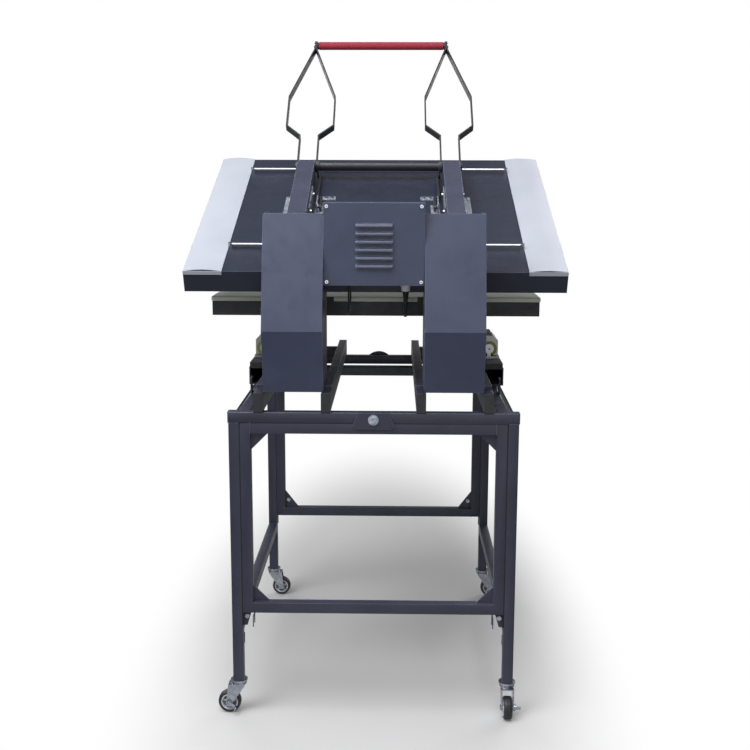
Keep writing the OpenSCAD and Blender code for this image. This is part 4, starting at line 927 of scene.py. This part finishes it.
def frame_joints(name, side_low):
    """Lines where the rails of an end frame or a side frame meet its uprights."""
    low, high = corners(name)
    lines = []
    side = TUBE * MM
    if name.endswith("_frame"):
        x_in = high.x - side
        for x in (-x_in, x_in):
            for z in (low.z + side, high.z - side):
                lines.append(((x, low.y + MM, z), (x, high.y - MM, z)))
            for z0, z1 in ((low.z, low.z + side), (high.z - side, high.z)):
                for y in (low.y, high.y):
                    lines.append(((x, y, z0 + MM), (x, y, z1 - MM)))
    else:
        for y in (low.y + side, high.y - side):
            for z0 in (side_low, high.z - side):
                for x in (low.x, high.x):
                    lines.append(((x, y, z0 + MM), (x, y, z0 + side - MM)))
                lines.append(((low.x + MM, y, z0 + side), (high.x - MM, y, z0 + side)))
    return lines


class HEATPRESS_OT_welds(bpy.types.Operator):
    """Lays the weld ripples at the stand's tube joints and at the towers"""

    bl_idname = "heatpress.welds"
    bl_label = "Welds"

    def execute(self, context):
        settings = context.scene.heat_press
        tree = bead_tree(FINISH["bead"])
        values = {"Ripple radius": settings.bead_radius * MM,
                  "Ripple pitch": settings.bead_pitch * MM, "Seed": 4}
        rail = corners("rear_frame")[0].z - SIDE_RAIL_DROP * MM
        lines = []
        for name in ("rear_frame", "front_frame", "side_frame_left", "side_frame_right"):
            lines += frame_joints(name, rail)
        rippled("stand_welds", lines, tree, values, "stand")
        lines = []
        for name in ("tower_left", "tower_right"):
            low, high = corners(name)
            foot = low.z + TOWER_FOOT * MM
            for x in (low.x + TOWER_SIDE * MM, high.x - TOWER_SIDE * MM):
                lines.append(((x, low.y + TOWER_REAR * MM, foot), (x, high.y - TOWER_FRONT * MM, foot)))
        rippled("tower_welds", lines, tree, values, "stand")
        return {"FINISHED"}


def screw_recesses():
    """Cross recesses in the heads of the cover's and the hoods' screws, as dark slots of painted shade."""
    slots = Parts()
    face = corners("control_cover")[0].y
    for low, high in islands("cover_screws"):
        mid = (low + high) / 2
        if abs(low.y - face) < FACE_DEPTH * MM and abs(mid.x) < FACE_HALF * MM:
            turn = turned((mid.x, low.y, mid.z), 90, "X")
        elif mid.x > 0:
            turn = turned((high.x, mid.y, mid.z), 90, "Y")
        else:
            turn = turned((low.x, mid.y, mid.z), -90, "Y")
        for a in (0, 90):
            slots.take(*block(*RECESS, MM), 0, turn @ Matrix.Rotation(math.radians(a), 4, "Z"))
    if not slots.verts:
        raise RuntimeError("no screw heads were found")
    # Painted shade: the slots are near-black blocks in the place of the recesses' shadow.
    piece("screw_recesses", slots.verts, slots.faces, FINISH["black_plastic"], "stand", 30)


def gland_ribs():
    """Ribs round the heater lead's gland."""
    gland = Parts()
    y, z = HEATER_ROUTE[0]
    top = Matrix.Translation(side_point(HEATER_X, y, z + GLAND_RISE))
    for k in range(GLAND_RIBS):
        gland.take(*block(*GLAND_RIB, MM), 0, top @ Matrix.Rotation(2 * math.pi * k / GLAND_RIBS, 4, "Z"))
    piece("gland_ribs", gland.verts, gland.faces, FINISH["grey_plastic"], "stand", 30)


def joint_shade_strips():
    """Strips of painted shade in the dark seams where the stand's frames meet each other and the base."""
    seams = Parts()
    base, rear, front = corners("base_frame")[0], corners("rear_frame"), corners("front_frame")
    half, high, thin, end = SEAM_UPRIGHT * MM, SEAM_LEVEL * MM, SEAM_T * MM, SEAM_END * MM
    for y in (rear[0].y + SEAM_DEPTH * MM, front[1].y - SEAM_DEPTH * MM):
        for side in SIDES:
            x = side * rear[1].x
            seams.take(*block((x - half, y - thin, rear[0].z + end), (x + half, y + thin, rear[1].z)))
        seams.take(*block((base.x + end, y - thin, base.z - high), (-base.x - end, y + thin, base.z + high)))
    for side in SIDES:
        x = side * (-base.x - SEAM_DEPTH * MM)
        seams.take(*block((x - thin, rear[0].y + end, base.z - high),
                          (x + thin, front[1].y - end, base.z + high)))
    # Painted shade: these strips stand in for the shadow in the grooves between the tubes.
    piece("joint_shade_strips", seams.verts, seams.faces, FINISH["seam_shade"], "stand", 30)


def tie_rod_nuts():
    """Washers and nuts on the tie rods outside the arms."""
    nuts = Parts()
    pivot = middle("pivot_shafts")
    outer = corners("arm_right")[1].x
    for along in ROD_PLACES:
        at = pivot + Matrix.Rotation(HEAD_OPEN, 3, "X") @ Vector((0, along * MM, ROD_RISE * MM))
        for side in SIDES:
            for off, length, radius, sides in ROD_ENDS:
                place = turned((side * (outer + off * MM), at.y, at.z), side * 90, "Y")
                nuts.take(*lathe(ring(ROD_BORE, radius, 0, length), sides), 0, place)
    piece("tie_rod_nuts", nuts.verts, nuts.faces, FINISH["chrome"], "head", 30)


def bolt_sockets():
    """Socket rims on the heads of the stand's small bolts."""
    sockets = Parts()
    for low, high in islands("stand_bolts"):
        if high.x - low.x <= BOLT_WIDE * MM:
            mid = (low + high) / 2
            sockets.take(*lathe(ring(*SOCKET), SOCKET_SIDES), 0, turned((mid.x, low.y, mid.z), 90, "X"))
    if sockets.verts:
        piece("bolt_sockets", sockets.verts, sockets.faces, FINISH["zinc"], "stand", 30)


class HEATPRESS_OT_hardware(bpy.types.Operator):
    """Adds the screw recesses as painted shade, the gland's ribs, the painted shade strips in the seams, the
    rods' nuts and the bolt sockets
    """

    bl_idname = "heatpress.hardware"
    bl_label = "Hardware"

    def execute(self, context):
        screw_recesses()
        gland_ribs()
        joint_shade_strips()
        tie_rod_nuts()
        bolt_sockets()
        return {"FINISHED"}


def rounded_tubes(name, radius, least):
    """Puts a copy with rounded long outside edges in the place of a CAD node's square tubes."""
    work = bmesh.new()
    work.from_mesh(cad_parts[name].data)
    bmesh.ops.remove_doubles(work, verts=work.verts, dist=1e-6)
    bmesh.ops.dissolve_limit(work, angle_limit=math.radians(0.5), verts=work.verts, edges=work.edges)
    edges = [e for e in work.edges if e.is_manifold and e.is_convex and e.calc_length() > least * MM
             and abs(e.calc_face_angle() - math.pi / 2) < math.radians(3)]
    if not edges:
        raise RuntimeError("no tube edges in " + name)
    bmesh.ops.bevel(work, geom=edges, offset=radius * MM, segments=3, profile=0.5, affect="EDGES",
                    clamp_overlap=True)
    work.verts.index_update()
    verts = [v.co.copy() for v in work.verts]
    faces = [[v.index for v in f.verts] for f in work.faces]
    work.free()
    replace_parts(piece(name + "_tubes", verts, faces, FINISH["navy"], "stand", 32), name)


class HEATPRESS_OT_tubes(bpy.types.Operator):
    """Rounds the long edges of the square tubes"""

    bl_idname = "heatpress.tubes"
    bl_label = "Tubes"

    def execute(self, context):
        radius = context.scene.heat_press.tube_edge
        for name in TUBED:
            rounded_tubes(name, radius, LONG_EDGE)
        return {"FINISHED"}


class HEATPRESS_OT_finishes(bpy.types.Operator):
    """Gives every CAD piece its finish"""

    bl_idname = "heatpress.finishes"
    bl_label = "Finishes"

    def execute(self, context):
        for name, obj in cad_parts.items():
            if name not in NODE_FINISH:
                raise RuntimeError("no finish for " + name)
            obj.data.materials.clear()
            obj.data.materials.append(FINISH[NODE_FINISH[name]])
        return {"FINISHED"}


class HEATPRESS_OT_stage(bpy.types.Operator):
    """Sets the white studio, its floor and its soft lights"""

    bl_idname = "heatpress.stage"
    bl_label = "Stage"

    def execute(self, context):
        scene = context.scene
        settings = scene.heat_press
        world = bpy.data.worlds.new("studio")
        scene.world = world
        world.use_nodes = True
        tree = world.node_tree
        feed(tree, tree.nodes["Background"], {0: (1, 1, 1, 1), 1: stray(tree)})
        scene.view_settings.view_transform = "Standard"
        verts, faces = block(*FLOOR_BOX)
        mesh = bpy.data.meshes.new("floor")
        mesh.from_pydata(verts, [], faces)
        mesh.materials.append(floor_finish())
        floor = bpy.data.objects.new("floor", mesh)
        scene.collection.objects.link(floor)
        key, rim, fill, top, low = (area_light(name, place, aim, size, getattr(settings, power) * share)
                                    for name, place, aim, size, power, share in LIGHTS)
        return {"FINISHED"}


class HEATPRESS_PT_panel(bpy.types.Panel):
    """Settings and steps in the sidebar"""

    bl_idname = "HEATPRESS_PT_panel"
    bl_label = "Heat press"
    bl_space_type = "VIEW_3D"
    bl_region_type = "UI"
    bl_category = "Heat press"

    def draw(self, context):
        settings = context.scene.heat_press
        for name in ("pad_corner", "pad_edge", "sleeve_round", "lead_sides", "spokes", "bead_radius",
                     "bead_pitch", "tube_edge", "key_power", "fill_power", "top_power"):
            self.layout.prop(settings, name)
        for step in STEPS:
            self.layout.operator("heatpress." + step)


STEPS = ("camera", "leads", "pad", "grip", "wheels", "tubes", "welds", "hardware", "finishes", "stage")
CLASSES = (
    HEATPRESS_PG_settings, HEATPRESS_OT_camera, HEATPRESS_OT_leads, HEATPRESS_OT_pad,
    HEATPRESS_OT_grip, HEATPRESS_OT_wheels, HEATPRESS_OT_tubes, HEATPRESS_OT_welds,
    HEATPRESS_OT_hardware, HEATPRESS_OT_finishes, HEATPRESS_OT_stage, HEATPRESS_PT_panel,
)


def register():
    """Adds the classes and the settings."""
    for each in CLASSES:
        bpy.utils.register_class(each)
    bpy.types.Scene.heat_press = bpy.props.PointerProperty(type=HEATPRESS_PG_settings)


def unregister():
    """Removes the settings and the classes."""
    del bpy.types.Scene.heat_press
    for each in reversed(CLASSES):
        bpy.utils.unregister_class(each)


def main():
    """Runs every step in order."""
    register()
    FINISH.update(make_finishes())
    for step in STEPS:
        getattr(bpy.ops.heatpress, step)()


if __name__ == "__main__":
    main()
